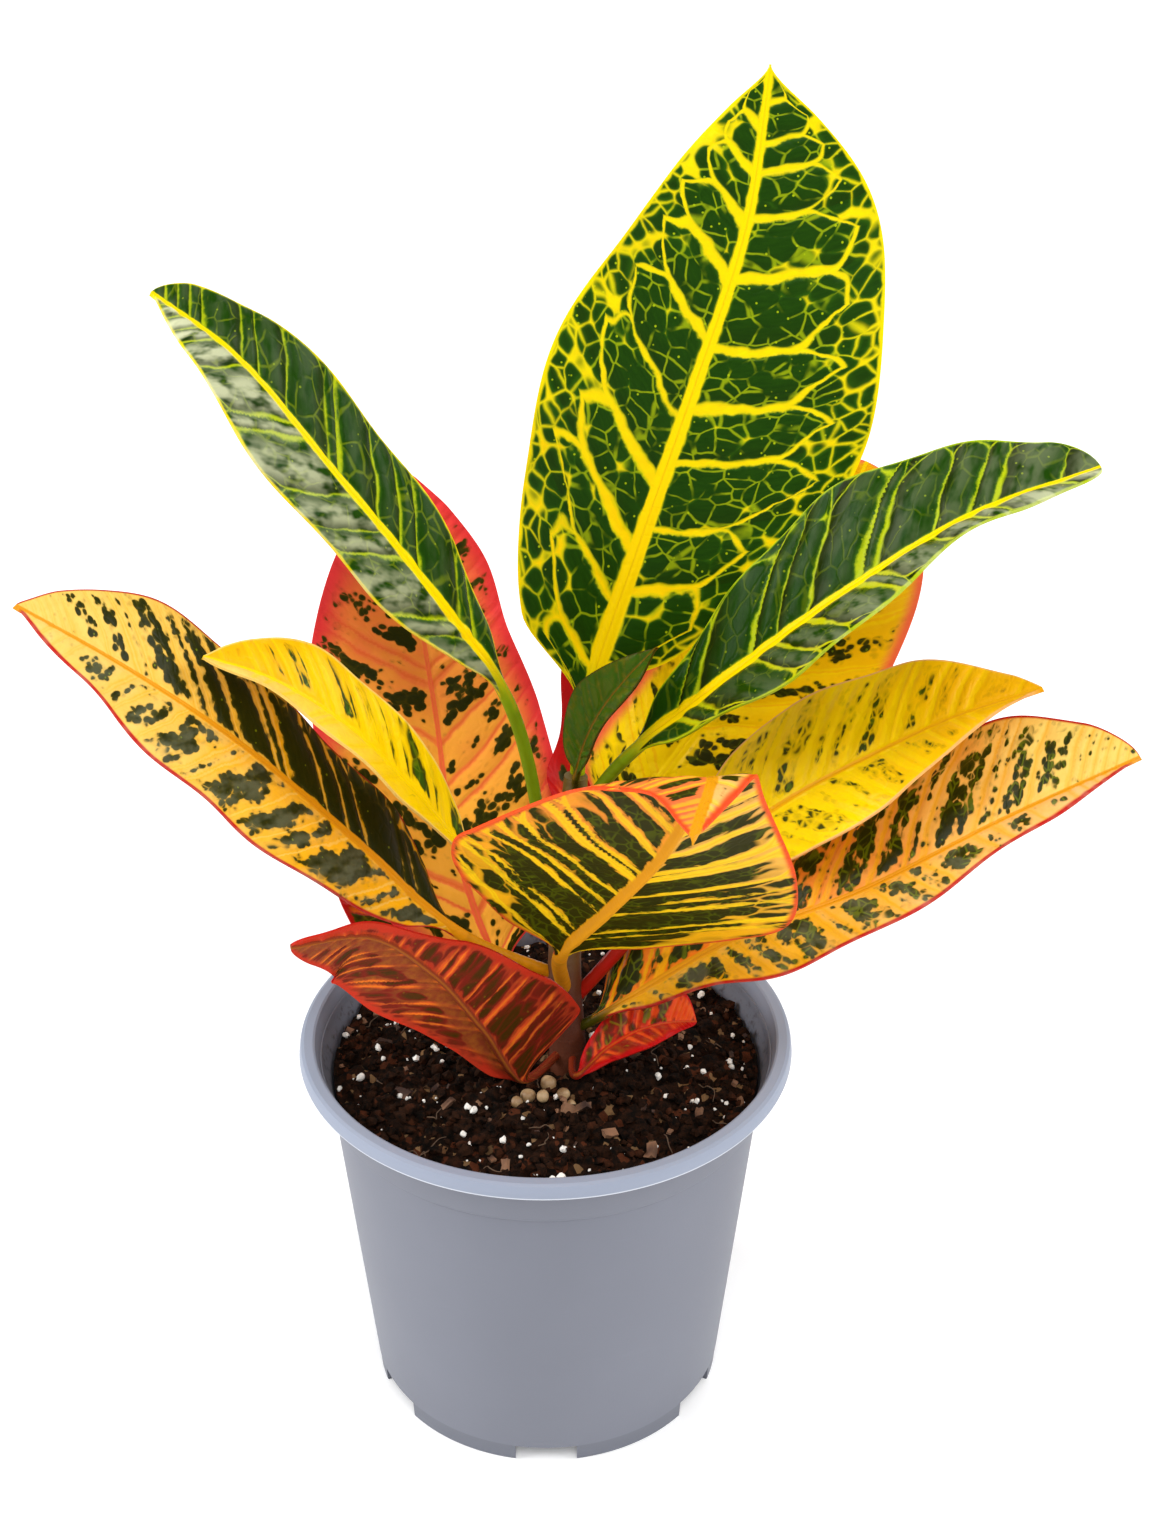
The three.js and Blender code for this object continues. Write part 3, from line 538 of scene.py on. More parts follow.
def curve_point(path, u):
    """The point at u, 0 to 1, on the smooth centripetal curve through a list of points."""
    last = len(path) - 1
    k = min(int(u * last), last - 1)
    w = u * last - k
    p1, p2 = path[k], path[k + 1]
    p0 = path[k - 1] if k > 0 else 2 * p1 - p2
    p3 = path[k + 2] if k + 2 <= last else 2 * p2 - p1
    d0, d1, d2 = (math.sqrt((b - a).length) for a, b in ((p0, p1), (p1, p2), (p2, p3)))
    start = ((p1 - p0) / d0 - (p2 - p0) / (d0 + d1) + (p2 - p1) / d1) * d1
    end = ((p2 - p1) / d1 - (p3 - p1) / (d1 + d2) + (p3 - p2) / d2) * d1
    bend = 3 * (p2 - p1) - 2 * start - end
    return p1 + start * w + bend * w**2 + (2 * (p1 - p2) + start + end) * w**3


def tube(name, path, radii, stations, around):
    """A round tube along a smooth curve, its radius following a list along it. Millimetres."""
    path = [Vector(p) for p in path]
    rings = np.empty((stations, around, 3))
    for i in range(stations):
        u = i / (stations - 1)
        at = curve_point(path, u)
        along = (curve_point(path, min(u + 0.002, 1)) - curve_point(path, max(u - 0.002, 0))).normalized()
        side = Vector((0, 1, 0)).cross(along).normalized()
        other = along.cross(side)
        radius = float(np.interp(u * (len(radii) - 1), range(len(radii)), radii))
        for j in range(around):
            angle = 2 * math.pi * j / around
            rings[i, j] = at + radius * (math.cos(angle) * side + math.sin(angle) * other)
    return skin(name, rings * MM)


# ---- Making materials --------------------------------------------------------------------------
class Finish:
    """A material under construction. Each call adds one node and gives back the socket that it fills."""

    def __init__(self, name):
        self.material = bpy.data.materials.new(name)
        self.material.use_nodes = True
        self.tree = self.material.node_tree
        self.tree.nodes.clear()

    def node(self, kind, **settings):
        made = self.tree.nodes.new(kind)
        for key, value in settings.items():
            setattr(made, key, value)
        return made

    def feed(self, socket, value):
        if isinstance(value, bpy.types.NodeSocket):
            self.tree.links.new(value, socket)
        elif socket.type == "RGBA":
            socket.default_value = (*value[:3], 1)
        else:
            socket.default_value = value

    def calc(self, operation, *values):
        made = self.node("ShaderNodeMath", operation=operation)
        for socket, value in zip(made.inputs, values):
            self.feed(socket, value)
        return made.outputs[0]

    def add(self, a, b):
        return self.calc("ADD", a, b)

    def times(self, a, b):
        return self.calc("MULTIPLY", a, b)

    def minus(self, a, b):
        return self.calc("SUBTRACT", a, b)

    def ease(self, value, low, high, start=0.0, end=1.0):
        """Runs smoothly from start to end while value goes from low to high."""
        made = self.node("ShaderNodeMapRange", interpolation_type="SMOOTHSTEP")
        for socket, given in zip(made.inputs, (value, low, high, start, end)):
            self.feed(socket, given)
        return made.outputs[0]

    def between(self, share, a, b):
        """a where share is 0, b where it is 1: numbers."""
        made = self.node("ShaderNodeMix", data_type="FLOAT")
        for index, given in ((0, share), (2, a), (3, b)):
            self.feed(made.inputs[index], given)
        return made.outputs[0]

    def blend(self, share, a, b):
        """a where share is 0, b where it is 1: colours."""
        made = self.node("ShaderNodeMix", data_type="RGBA")
        for index, given in ((0, share), (6, a), (7, b)):
            self.feed(made.inputs[index], given)
        return made.outputs[2]

    def pack(self, x, y, z):
        """A vector of three values."""
        made = self.node("ShaderNodeCombineXYZ")
        for socket, value in zip(made.inputs, (x, y, z)):
            self.feed(socket, value)
        return made.outputs[0]

    def split(self, vector):
        made = self.node("ShaderNodeSeparateXYZ")
        self.feed(made.inputs[0], vector)
        return made.outputs[:]

    def mark(self, name):
        """The three values of an attribute."""
        return self.split(self.node("ShaderNodeAttribute", attribute_name=name).outputs["Vector"])

    def place(self):
        """Where a point lies, in metres."""
        return self.node("ShaderNodeTexCoord").outputs["Object"]

    def noise(self, vector, scale, detail=2.0, rough=0.5, output="Fac"):
        made = self.node("ShaderNodeTexNoise")
        self.feed(made.inputs["Vector"], vector)
        made.inputs["Scale"].default_value = scale
        made.inputs["Detail"].default_value = detail
        made.inputs["Roughness"].default_value = rough
        return made.outputs[output]

    def cells(self, vector, scale, feature="F1", output="Distance"):
        """A pattern of cells: by default the distance to the nearest cell's middle."""
        made = self.node("ShaderNodeTexVoronoi", feature=feature)
        self.feed(made.inputs["Vector"], vector)
        made.inputs["Scale"].default_value = scale
        return made.outputs[output]

    def chance(self, value):
        """A random number that stays the same for each whole value."""
        made = self.node("ShaderNodeTexWhiteNoise", noise_dimensions="1D")
        self.feed(made.inputs["W"], value)
        return made.outputs["Value"]

    def bump(self, height, distance, strength):
        made = self.node("ShaderNodeBump")
        made.inputs["Strength"].default_value = strength
        made.inputs["Distance"].default_value = distance
        self.feed(made.inputs["Height"], height)
        return made.outputs[0]

    def done(self, base, roughness, normal=None, **fixed):
        """Ends the material with its shader. fixed are values set on the shader's own sockets."""
        shader = self.node("ShaderNodeBsdfPrincipled")
        self.feed(shader.inputs["Base Color"], base)
        self.feed(shader.inputs["Roughness"], roughness)
        if normal is not None:
            self.feed(shader.inputs["Normal"], normal)
        for name, value in fixed.items():
            shader.inputs[name.replace("_", " ")].default_value = value
        output = self.node("ShaderNodeOutputMaterial")
        self.tree.links.new(shader.outputs[0], output.inputs["Surface"])
        return self.material


# How a leaf's markings are drawn. Lengths are in millimetres, noise scales are per millimetre, and a
# pair of numbers is where an easing starts and ends.
HALVES_APART = 40.0  # keeps the patterns of the two halves unlike
ROWS_APART = 31.0  # keeps the side veins of the two halves unlike
NOISE_STRETCH = 3.2  # noise stays near its middle, and this stretches it to about -1 to 1
WANDER_SCALE = 0.09  # broad noise, by which lines wander
FINE_SCALE = 0.7  # fine noise, by which they tremble
BEND_SCALE = 0.13  # noise that pushes a net's lines about
NET_BEND = 0.3  # how far it pushes the net, in cells
LACE_BEND = 0.35  # how far it pushes the finest net
VEIN_WANDER = 0.12  # how far side veins stray, as a share of the gap between them
VEIN_TREMBLE = 0.012  # how far they tremble, as a share of it
VEIN_LEAST = 0.6  # the thinnest side vein, as a share of the stated width
VEIN_RANGE = 0.8  # how much broader than that the broadest is
FORK_STRAY = 0.16  # how unlike the forks' places are, as a share of the width
FORK_RUN = 0.5  # share of the width over which a fork opens
FORK_OPEN = 0.9  # how far it opens, as a share of the gap
RAGGED = 0.12  # how ragged the lines' edges are
STREAK = (0.7, 3.3)  # size of a streak across and along a side vein
MEETING = 0.6  # how softly the clear strips by veins, rib and edge meet
DOT = (2, 2.4)  # size of a round dot across and along a side vein
DOT_REACH = 0.48  # how far a dot reaches, in cells
NET_REACH = 0.72  # how far a round cell of the net reaches, in cells
NET_ROUND = 0.12  # how round its corners are
NET_SPREAD = (0.35, 0.95)  # shares of the width between which the net's lines change their width
NET_CUT = 0.5  # how softly the net cuts a blotch
HAIRLINE = (0.34, 0.12)  # how far from a side vein's middle its hairline reaches
LACE_LINE = (0.32, 0.06)  # how broad the finest net's lines are
LACE_PATCH = (0.38, 0.56)  # values of the noise between which that net fades in
PORE_SCALE = 0.36  # how closely the pale dots lie
PORE_EDGE = (0.14, 0.07)  # how broad they are, in cells
SHEEN_PATCH = (3.4, 7)  # size of a patch of the painted sheen across and along a side vein
SHEEN_PATCH_FADE = (0.32, 0.6)  # values of the noise between which it fades in
STALK_FADE = (16.0, 1.0)  # how far up the rib the stalk's colour reaches
STALK_END = (0.3, -0.6)  # where the stalk's colour begins
MARKING_RELIEF = 0.22 * MM  # how high the fine relief stands


def leaf_finish(name, look, colours):
    """The markings of one leaf, all worked out in millimetres from its own marks.

    s runs from -1 to 1 across the leaf, t from 0 to 1 along the blade, and phase counts its side veins.
    x and y are the same places in millimetres, and edge is how far the edge is. spacing is the gap
    between two side veins, and cross and run are places across and along them.
    """
    f = Finish(name)
    s, t, phase = f.mark("leaf_place")
    x, y, edge = f.mark("leaf_reach")
    spacing, cross, run = f.mark("leaf_span")
    upper = f.mark("leaf_side")[0]
    across = f.calc("ABSOLUTE", s)
    out = f.calc("ABSOLUTE", x)
    right = f.calc("GREATER_THAN", s, 0.0)
    half = f.times(right, HALVES_APART)
    spot = f.pack(x, y, half)
    late = f.times(t, t)

    def sway(vector, scale, detail, reach):
        """Noise in millimetres, from about -reach to reach."""
        return f.times(f.minus(f.noise(vector, scale, detail), 0.5), f.times(reach, NOISE_STRETCH))

    def over_blade(values):
        """A number that changes from base to tip, most of it near the tip, on each half its own way."""
        left_base, left_tip, right_base, right_tip = values
        return f.between(right, f.between(late, left_base, left_tip), f.between(late, right_base, right_tip))

    def grain(size_across, size_along):
        """Coordinates in which something of this size, lying along the side veins, is one unit long."""
        return f.pack(f.times(cross, 1 / size_across), f.times(run, 1 / size_along), half)

    def bent(vector, reach):
        """A vector pushed about softly, so that a net's lines aren't straight."""
        push = f.node("ShaderNodeVectorMath", operation="MULTIPLY_ADD")
        f.feed(push.inputs[0], f.noise(spot, BEND_SCALE, 2, output="Color"))
        push.inputs[1].default_value = (2 * reach, 2 * reach, 0)
        f.feed(push.inputs[2], vector)
        return push.outputs[0]

    wander = sway(spot, WANDER_SCALE, 2, 1.0)
    fine = sway(spot, FINE_SCALE, 2, 1.0)

    # Distance past the nearest side vein. Some are broad, some thin, and they fork near the edge.
    vein_colour, vein_base, vein_edge = look["vein"]
    row = f.add(phase, f.add(f.times(wander, VEIN_WANDER), f.times(fine, VEIN_TREMBLE)))
    shifted = f.add(row, 0.5)
    breadth = f.chance(f.add(f.calc("FLOOR", shifted), f.times(right, ROWS_APART)))
    breadth = f.add(f.times(breadth, VEIN_RANGE), VEIN_LEAST)
    breadth = f.times(breadth, f.ease(across, 0.1, 1.0, vein_base, vein_edge))
    off_vein = f.calc("ABSOLUTE", f.minus(f.calc("FRACT", shifted), 0.5))
    fork = f.add(look["fork"], sway(f.pack(row, 0.0, half), 0.9, 1, FORK_STRAY))
    branch = f.times(f.ease(across, fork, f.add(fork, FORK_RUN)), FORK_OPEN)
    from_vein = f.times(f.calc("ABSOLUTE", f.minus(off_vein, branch)), spacing)
    past_vein = f.minus(from_vein, f.add(breadth, f.times(fine, RAGGED)))

    # Distance past the rib and past the coloured edge.
    mid_colour, mid_base, mid_tip = look["mid"]
    streak = grain(*STREAK)
    torn = sway(streak, 1.0, 3, 1.0)
    rib_half = f.between(f.calc("POWER", t, 0.7), mid_base, mid_tip)
    past_rib = f.minus(out, f.add(rib_half, f.times(torn, RAGGED)))
    rim_colour, rim_width, rim_soft = look["rim"]
    past_rim = f.minus(edge, f.add(rim_width, f.times(wander, 0.5 * rim_width)))

    # How deep a point lies inside a dark blotch: below 0 it is on the ground.
    band_colour, *band_widths = look["band"]
    past_band = f.minus(past_rib, f.between(right, *band_widths))
    free = f.calc("SMOOTH_MIN", past_vein, past_band, MEETING)
    free = f.calc("SMOOTH_MIN", free, past_rim, MEETING)
    free = f.calc("MINIMUM", free, look["far"])
    vary = f.times(over_blade(look["vary"]), 0.5)
    deep = f.add(f.minus(free, over_blade(look["clear"])), sway(grain(*look["blob"]), 1.0, 1.5, vary))
    deep = f.add(deep, f.times(torn, 0.5 * look["fray"]))
    if any(look["lobes"]):
        dots = f.minus(DOT_REACH, f.cells(grain(*DOT), 1.0))
        deep = f.add(deep, f.times(dots, f.times(over_blade(look["lobes"]), 2.0)))

    # The net's lines cut the blotches into round cells, more and more towards the edge.
    cell_across, cell_along, net_inner, net_outer = look["net"]
    net = bent(grain(cell_across, cell_along), NET_BEND)
    border = f.cells(net, 1.0, "DISTANCE_TO_EDGE")
    corner = f.minus(NET_REACH, f.cells(net, 1.0))
    line = f.times(f.calc("SMOOTH_MIN", border, corner, NET_ROUND), cell_across)
    net_half = f.add(f.ease(across, *NET_SPREAD, net_inner, net_outer), f.times(wander, 0.15))
    deep = f.calc("SMOOTH_MIN", deep, f.minus(line, net_half), NET_CUT)
    blotch = f.ease(deep, -0.33 * look["soft"], look["soft"])

    # Colours, from the ground up: first the ground with its veins, hairlines, strip and edge.
    reach = f.ease(f.add(t, f.times(wander, 0.12)), 0.2, 1.0)
    grounds = [colours[key] for key in look["ground"]]
    left_ground = f.blend(reach, grounds[0], grounds[1])
    right_ground = f.blend(reach, grounds[2], grounds[3])
    ground = f.blend(right, left_ground, right_ground)
    vein_shade = f.blend(f.times(late, 0.7), colours[vein_colour], ground)
    ground = f.blend(f.times(f.ease(past_vein, 0.4, -0.2), 0.8), ground, vein_shade)
    thread_colour, thread_strength = look["thread"]
    if thread_strength:
        hairline = f.ease(from_vein, *HAIRLINE)
        ground = f.blend(f.times(hairline, thread_strength), ground, colours[thread_colour])
    if any(band_widths):
        band = f.times(f.ease(past_band, 1.5, -1.0), f.ease(out, 0.0, 2.0))
        ground = f.blend(f.times(band, 0.85), ground, colours[band_colour])
    mottle = f.ease(f.noise(spot, 0.35, 4, 0.6), 0.35, 0.7)
    ground = f.blend(f.times(mottle, 0.14), ground, colours["amber"])
    rim = f.ease(past_rim, rim_soft, -0.1)
    ground = f.blend(rim, ground, colours[rim_colour])

    # Then the blotches' dark, with painted shade beside each side vein, its finest net and its dots.
    dark_middle, dark_edge = (colours[key] for key in look["dark"])
    dark = f.blend(f.ease(deep, 0.1, 1.0), dark_edge, dark_middle)
    tint = f.noise(streak, 0.8, 3)
    dark = f.blend(f.times(tint, 0.45), dark, dark_edge)
    # Painted shade: one flank beside each side vein is darkened towards black green, where the bulging
    # tissue sinks.
    painted_dip = f.ease(f.calc("FRACT", row), 0.0, 0.5, look["crease_shade"], 0.0)
    dark = f.blend(painted_dip, dark, colours["black_green"])
    lace_size, lace_strength = look["lace"]
    mesh = f.times(border, cell_across)
    if lace_size:
        lines = bent(grain(lace_size, 1.4 * lace_size), LACE_BEND)
        mesh = f.times(f.cells(lines, 1.0, "DISTANCE_TO_EDGE"), lace_size)
    if lace_strength:
        lace = f.times(f.ease(mesh, *LACE_LINE), f.ease(f.noise(spot, 0.16, 2), *LACE_PATCH))
        dark = f.blend(f.times(lace, lace_strength), dark, colours["lime"])
    if look["pores"]:
        pores = f.ease(f.cells(spot, PORE_SCALE), *PORE_EDGE)
        dark = f.blend(f.times(pores, look["pores"]), dark, colours["lime"])

    # Then the dark over the ground, a painted sheen between the side veins, the rib and the stalk.
    halo_colour, halo_strength = look["halo"]
    shade = f.blend(f.times(f.ease(deep, -0.8, 0.1), halo_strength), ground, colours[halo_colour])
    shade = f.blend(blotch, shade, dark)
    # Painted sheen: a pale veil for the lights' reflection, strongest on one flank of each bulge.
    if any(look["painted_sheen"]):
        sheen = f.ease(f.noise(grain(*SHEEN_PATCH), 1.0, 2), *SHEEN_PATCH_FADE)
        off_flank = f.calc("ABSOLUTE", f.minus(f.calc("FRACT", row), 0.45))
        sheen = f.times(sheen, f.ease(off_flank, 0.42, 0.1, 0.3, 1.0))
        shade = f.blend(f.times(sheen, over_blade(look["painted_sheen"])), shade, colours["sheen_colour"])
    rib_colour = f.blend(f.ease(y, *STALK_FADE), colours[mid_colour], colours[look["stalk"]])
    rib_colour = f.blend(f.times(f.ease(out, 0.5, 0.0), 0.2), rib_colour, colours["amber"])
    shade = f.blend(f.ease(past_rib, 0.2, -0.3), shade, rib_colour)
    stalk_shade = f.blend(f.times(f.noise(spot, 0.6, 3), 0.4), colours[look["stalk"]], colours["olive"])
    shade = f.blend(f.ease(y, *STALK_END), shade, stalk_shade)
    under = f.minus(1.0, upper)
    shade = f.blend(f.times(under, f.between(blotch, 0.04, 0.0)), shade, colours["straw"])

    # Gloss and fine relief: the veins lie low, and the tissue between them is finely wrinkled.
    roughness = f.add(f.between(upper, 0.5, look["gloss"]), f.times(fine, 0.03))
    relief = f.add(f.ease(f.calc("MINIMUM", past_vein, past_rib), -0.4, 1.2), f.times(tint, 0.2))
    relief = f.add(relief, f.times(f.ease(mesh, 0.0, 0.5), 0.25))
    normal = f.bump(relief, MARKING_RELIEF, 0.8)
    return f.done(shade, roughness, normal, Specular_IOR_Level=look["shine"])


# ---- One leaf ----------------------------------------------------------------------------------
STALK_STEPS = 14
STALK_REACH = 20  # how long a stalk counts as in its markings, in millimetres
CENTRE_CROWD = 1.6  # how much closer together the points are near the rib
TIP_CROWD = 1.3  # how much closer together the stations are near the tip
TIP_ROUND = 0.07  # the last share of a blade, over which its tip is rounded
BLADE_START = 0.12  # the first share of a blade, over which the stalk flattens into it
STALK_ROUND = 0.55  # the stalk's radius, as a share of the rib's width
RIB_TAPER = 0.65  # how much thinner the rib is at the tip, as a share
RIB_ABOVE = 0.15  # how far the rib stands out of the upper side, as a share of its width
RIB_BELOW = 0.6  # how far it stands out below
TIP_NARROW = 0.7  # how much narrower than the rib the very tip may be, as a share
TIP_START = 0.85  # the share of a blade from which on it narrows so
TIP_RUN = 0.15
VEIN_CURVE = 0.006  # how much side veins bend towards the tip, per millimetre
ROWS_BEFORE = 12  # rows of side veins that are counted past the base
ROWS_AFTER = 5  # and past the tip
LEAF_MARKS = ("leaf_place", "leaf_reach", "leaf_span", "leaf_side")


def vein_rows(places, length):
    """Where a half's side veins start, in mm along the rib, with more rows past both ends."""
    if isinstance(places, int):
        places = [0.03 + 0.94 * (k + 0.35 * math.sin(2.4 * k)) / places for k in range(places)]
    starts = [length * p for p in places]
    first, last = starts[1] - starts[0], starts[-1] - starts[-2]
    before = [starts[0] - first * k for k in range(ROWS_BEFORE, 0, -1)]
    after = [starts[-1] + last * k for k in range(1, ROWS_AFTER + 1)]
    rows = np.array(before + starts + after)
    return rows, np.arange(len(rows)) - len(before)


def leaf_skin(name, form, look, settings):
    """The leaf as one closed skin from the stem to the tip, with the marks that its finish reads.

    s runs from -1 at the left edge over 0 at the rib to 1 at the right edge, first on the upper side and
    back on the lower. t runs along the blade, from 0 at its base to 1 at its tip. phase counts the side
    veins from the base, and start is where the side vein through a point leaves the rib.
    """
    path = [Vector(p) for p in form["path"]]
    base = 1 / (len(path) - 1)
    steps = [base * i / STALK_STEPS for i in range(STALK_STEPS)]
    for i in range(settings.stations + 1):
        steps.append(1 - (1 - base) * (1 - i / settings.stations) ** TIP_CROWD)
    spread = np.linspace(-1, 1, settings.columns)
    s_upper = np.sign(spread) * np.abs(spread) ** CENTRE_CROWD
    s = np.concatenate([s_upper, s_upper[::-1]])
    is_upper = np.concatenate([np.ones(settings.columns), np.zeros(settings.columns)])
    left_lobe, right_lobe = form.get("lobe", (0, 0))
    left_tip, right_tip = form.get("blunt", (0, 0))
    halves = {
        -1: [left_lobe, *form["left"], left_tip],
        1: [right_lobe, *form["right"], right_tip],
    }
    fold = math.radians(form["fold"])
    thick = settings.thickness / MM
    blade_points = [curve_point(path, base + (1 - base) * i / 100) for i in range(101)]
    length = sum((b - a).length for a, b in zip(blade_points, blade_points[1:]))
    rows = [vein_rows(places, length) for places in look["laterals"]]
    lean = np.where(s < 0, *(math.tan(math.radians(a)) for a in look["lean"]))
    tilt = np.where(s < 0, *(math.cos(math.radians(a)) for a in look["lean"]))
    rise = np.where(s < 0, *(math.sin(math.radians(a)) for a in look["lean"]))

    rings = np.empty((len(steps), len(s), 3))
    marks = {key: np.zeros((len(steps), len(s), 3)) for key in LEAF_MARKS}
    for i, u in enumerate(steps):
        t = max(0, (u - base) / (1 - base))
        at = curve_point(path, u)
        along = (curve_point(path, min(u + 0.001, 1)) - curve_point(path, max(u - 0.001, 0))).normalized()
        face = Vector([through([v[k] for v in form["face"]], t) for k in range(3)])
        normal = (face - along * face.dot(along)).normalized()
        side = along.cross(normal)
        rib = form["stalk"] * (1 - RIB_TAPER * t)
        tip_ease = 1 - TIP_NARROW * smooth((t - TIP_START) / TIP_RUN)
        tip_round = math.sqrt(1 - min(max((t - 1 + TIP_ROUND) / TIP_ROUND, 0), 1) ** 2)
        width = {k: max(tip_round * through(halves[k], t), 0.5 * rib * tip_ease) for k in (-1, 1)}
        half = np.where(s < 0, width[-1], width[1])
        share = np.abs(s)
        out = share * half
        along_mm = t * length if t > 0 else (u / base - 1) * STALK_REACH
        ripple = form["wave"] * np.sin(2 * math.pi * form["ripples"] * t + np.where(s < 0, 0, 2))
        ripple *= share**3 * min(1, 6 * t, 6 * (1 - t))
        start = along_mm - lean * out - VEIN_CURVE * out**2
        phase = np.where(s < 0, np.interp(start, *rows[0]), np.interp(start, *rows[1]))
        gaps = [np.interp(start, (r[0][1:] + r[0][:-1]) / 2, np.diff(r[0])) for r in rows]
        gap = np.where(s < 0, gaps[0], gaps[1]) * tilt
        # The tissue bulges between side veins, and lies flat by the rib, the edge and both ends.
        pillow = np.abs(np.sin(math.pi * phase)) ** 0.8 - 0.6
        pillow *= smooth(share / 0.15) * smooth((1 - share) / 0.25)
        pillow *= smooth(t / 0.1) * smooth((1 - t) / 0.1)
        lift = out * math.sin(fold) - form["cup"] * out * share + ripple
        lift += look["quilt"] * settings.quilting / MM * pillow
        crown = np.sqrt(np.clip(1 - (out / (0.5 * rib)) ** 2, 0, 1))
        drop = np.where(is_upper > 0, -RIB_ABOVE * rib * crown, thick + RIB_BELOW * rib * crown)
        round_side = STALK_ROUND * rib * np.sin(s * math.pi / 2)
        round_lift = STALK_ROUND * rib * np.cos(s * math.pi / 2) * np.where(is_upper > 0, 1, -1)
        blade = smooth(t / BLADE_START)
        x = round_side + (np.sign(s) * out * math.cos(fold) - round_side) * blade
        z = round_lift + (lift - drop - round_lift) * blade
        rings[i] = np.array(at) + np.outer(x, side) + np.outer(z, normal)
        marks["leaf_place"][i] = np.stack([s, np.full(len(s), t), phase], 1)
        marks["leaf_reach"][i] = np.stack([np.sign(s) * out, np.full(len(s), along_mm), half - out], 1)
        marks["leaf_span"][i] = np.stack([gap, start * tilt, along_mm * rise + out * tilt], 1)
        marks["leaf_side"][i, :, 0] = is_upper
    return skin(name, np.clip(rings * MM, *CAD_BOX), marks)


# ---- Operators: the plant ----------------------------------------------------------------------
class CROTON_OT_leaves(bpy.types.Operator):
    """Builds every leaf, each with its own markings, in place of its solid"""

    bl_idname = "croton.leaves"
    bl_label = "Leaves"

    def execute(self, context):
        settings = context.scene.croton_leaf
        colours = {key: tuple(getattr(settings, key)) for key in COLOUR_NAMES}
        for node, form in LEAF_FORMS.items():
            look = {**PLAIN_LOOK, **LEAF_LOOKS[node]}
            piece = leaf_skin(f"fine_{node}", form, look, settings)
            soften(piece, 60)
            dress(piece, node, leaf_finish(f"{node}_finish", look, colours))
        return {"FINISHED"}


COLOUR_NAMES = (
    "yellow", "lime", "straw", "gold", "amber", "tangerine", "orange", "peach", "coral", "maroon",
    "crimson", "rust", "olive", "leaf_green", "deep_green", "young_green", "black_green", "lime_stalk",
    "salmon", "scarlet", "umber", "sheen_colour",
)

# The stem's middle line from its foot up, and its radii, in millimetres.
STEM_PATH = [(6, -3, 58), (6, -4, 80), (6, -4, 100), (5, -2, 126), (6, 1, 156), (8, 3, 184)]
STEM_RADII = [2.2, 4.2, 5, 4.4, 3.8, 3]
ROOTS = 5  # the main roots, which leave the stem in a ring
ROOT_REACH = 34  # how far out they grow
ROOT_DROP = 26  # and how far down
ROOT_RADII = [1.7, 1.1, 0.5]
ROOT_START = 9  # how far above the stem's foot the lowest roots start
ROOT_STEP = 2  # how much higher the next ones do
ROOT_TURN = 0.4  # where round the stem the first one leaves, in radians


class CROTON_OT_stem(bpy.types.Operator):
    """Builds the stem with its main roots"""

    bl_idname = "croton.stem"
    bl_label = "Stem"

    def execute(self, context):
        parts = [tube("stem_shaft", STEM_PATH, STEM_RADII, stations=90, around=28)]
        for i in range(ROOTS):
            turn = 2 * math.pi * i / ROOTS + ROOT_TURN
            start = Vector(STEM_PATH[0]) + Vector((0, 0, ROOT_START + ROOT_STEP * (i % 3)))
            reach = Vector((ROOT_REACH * math.cos(turn), ROOT_REACH * math.sin(turn), 0))
            middle = start + 0.45 * reach + Vector((0, 0, -0.4 * ROOT_DROP + 4))
            end = start + reach - Vector((0, 0, ROOT_DROP))
            parts.append(tube("root", [start, middle, end], ROOT_RADII, stations=14, around=12))
        stem = join("fine_stem", parts)
        soften(stem, 50)
        f = Finish("stem_finish")
        place = f.place()
        height = f.split(place)[2]
        bark = f.blend(f.noise(place, 260, 4), paint("54401C"), paint("7E6A30"))
        bark = f.blend(f.ease(height, 150 * MM, 120 * MM), bark, paint("5A2A14"))  # reddish low down
        scars = f.noise(f.pack(0.0, 0.0, height), 420, 2)
        normal = f.bump(f.add(f.noise(place, 700, 3), f.times(scars, 1.5)), 0.3 * MM, 0.6)
        dress(stem, "stem", f.done(bark, 0.55, normal))
        return {"FINISHED"}


# ---- Operators: the pot and what fills it ------------------------------------------------------
POT_PROFILE = [  # radius and height, from the hub under the floor, up outside, and down inside
    (0, 0), (9, 0), (9, 5), (45, 5), (45, 0.3), (45.3, 0), (47.1, 0), (47.4, 0.3), (47.7, 5), (48, 5.6),
    (56.84, 90.6), (57.05, 90.9), (57.62, 91.4), (57.85, 91.8), (58.95, 103), (59.3, 103.6),
    (64.2, 103.6), (64.8, 103.9), (65, 104.5), (64.75, 106.6), (64.4, 107.5), (63.6, 108), (61.4, 108),
    (60.85, 107.7), (60.6, 107.1), (59.2, 102.5), (57.8, 99.6), (57.2, 98), (46.9, 6.8), (0, 6.8),
]
NOTCHES = 6  # round the foot, with a drain hole inside each
NOTCH_ANGLE = math.radians(20)
DRAIN_RADIUS = 3.5 * MM
DRAIN_CIRCLE = 34 * MM
DRAIN_DEPTH = 8 * MM
FOOT_RADIUS = 47.4 * MM
FOOT_HEIGHT = 5 * MM
NOTCH_DEPTH = 20 * MM


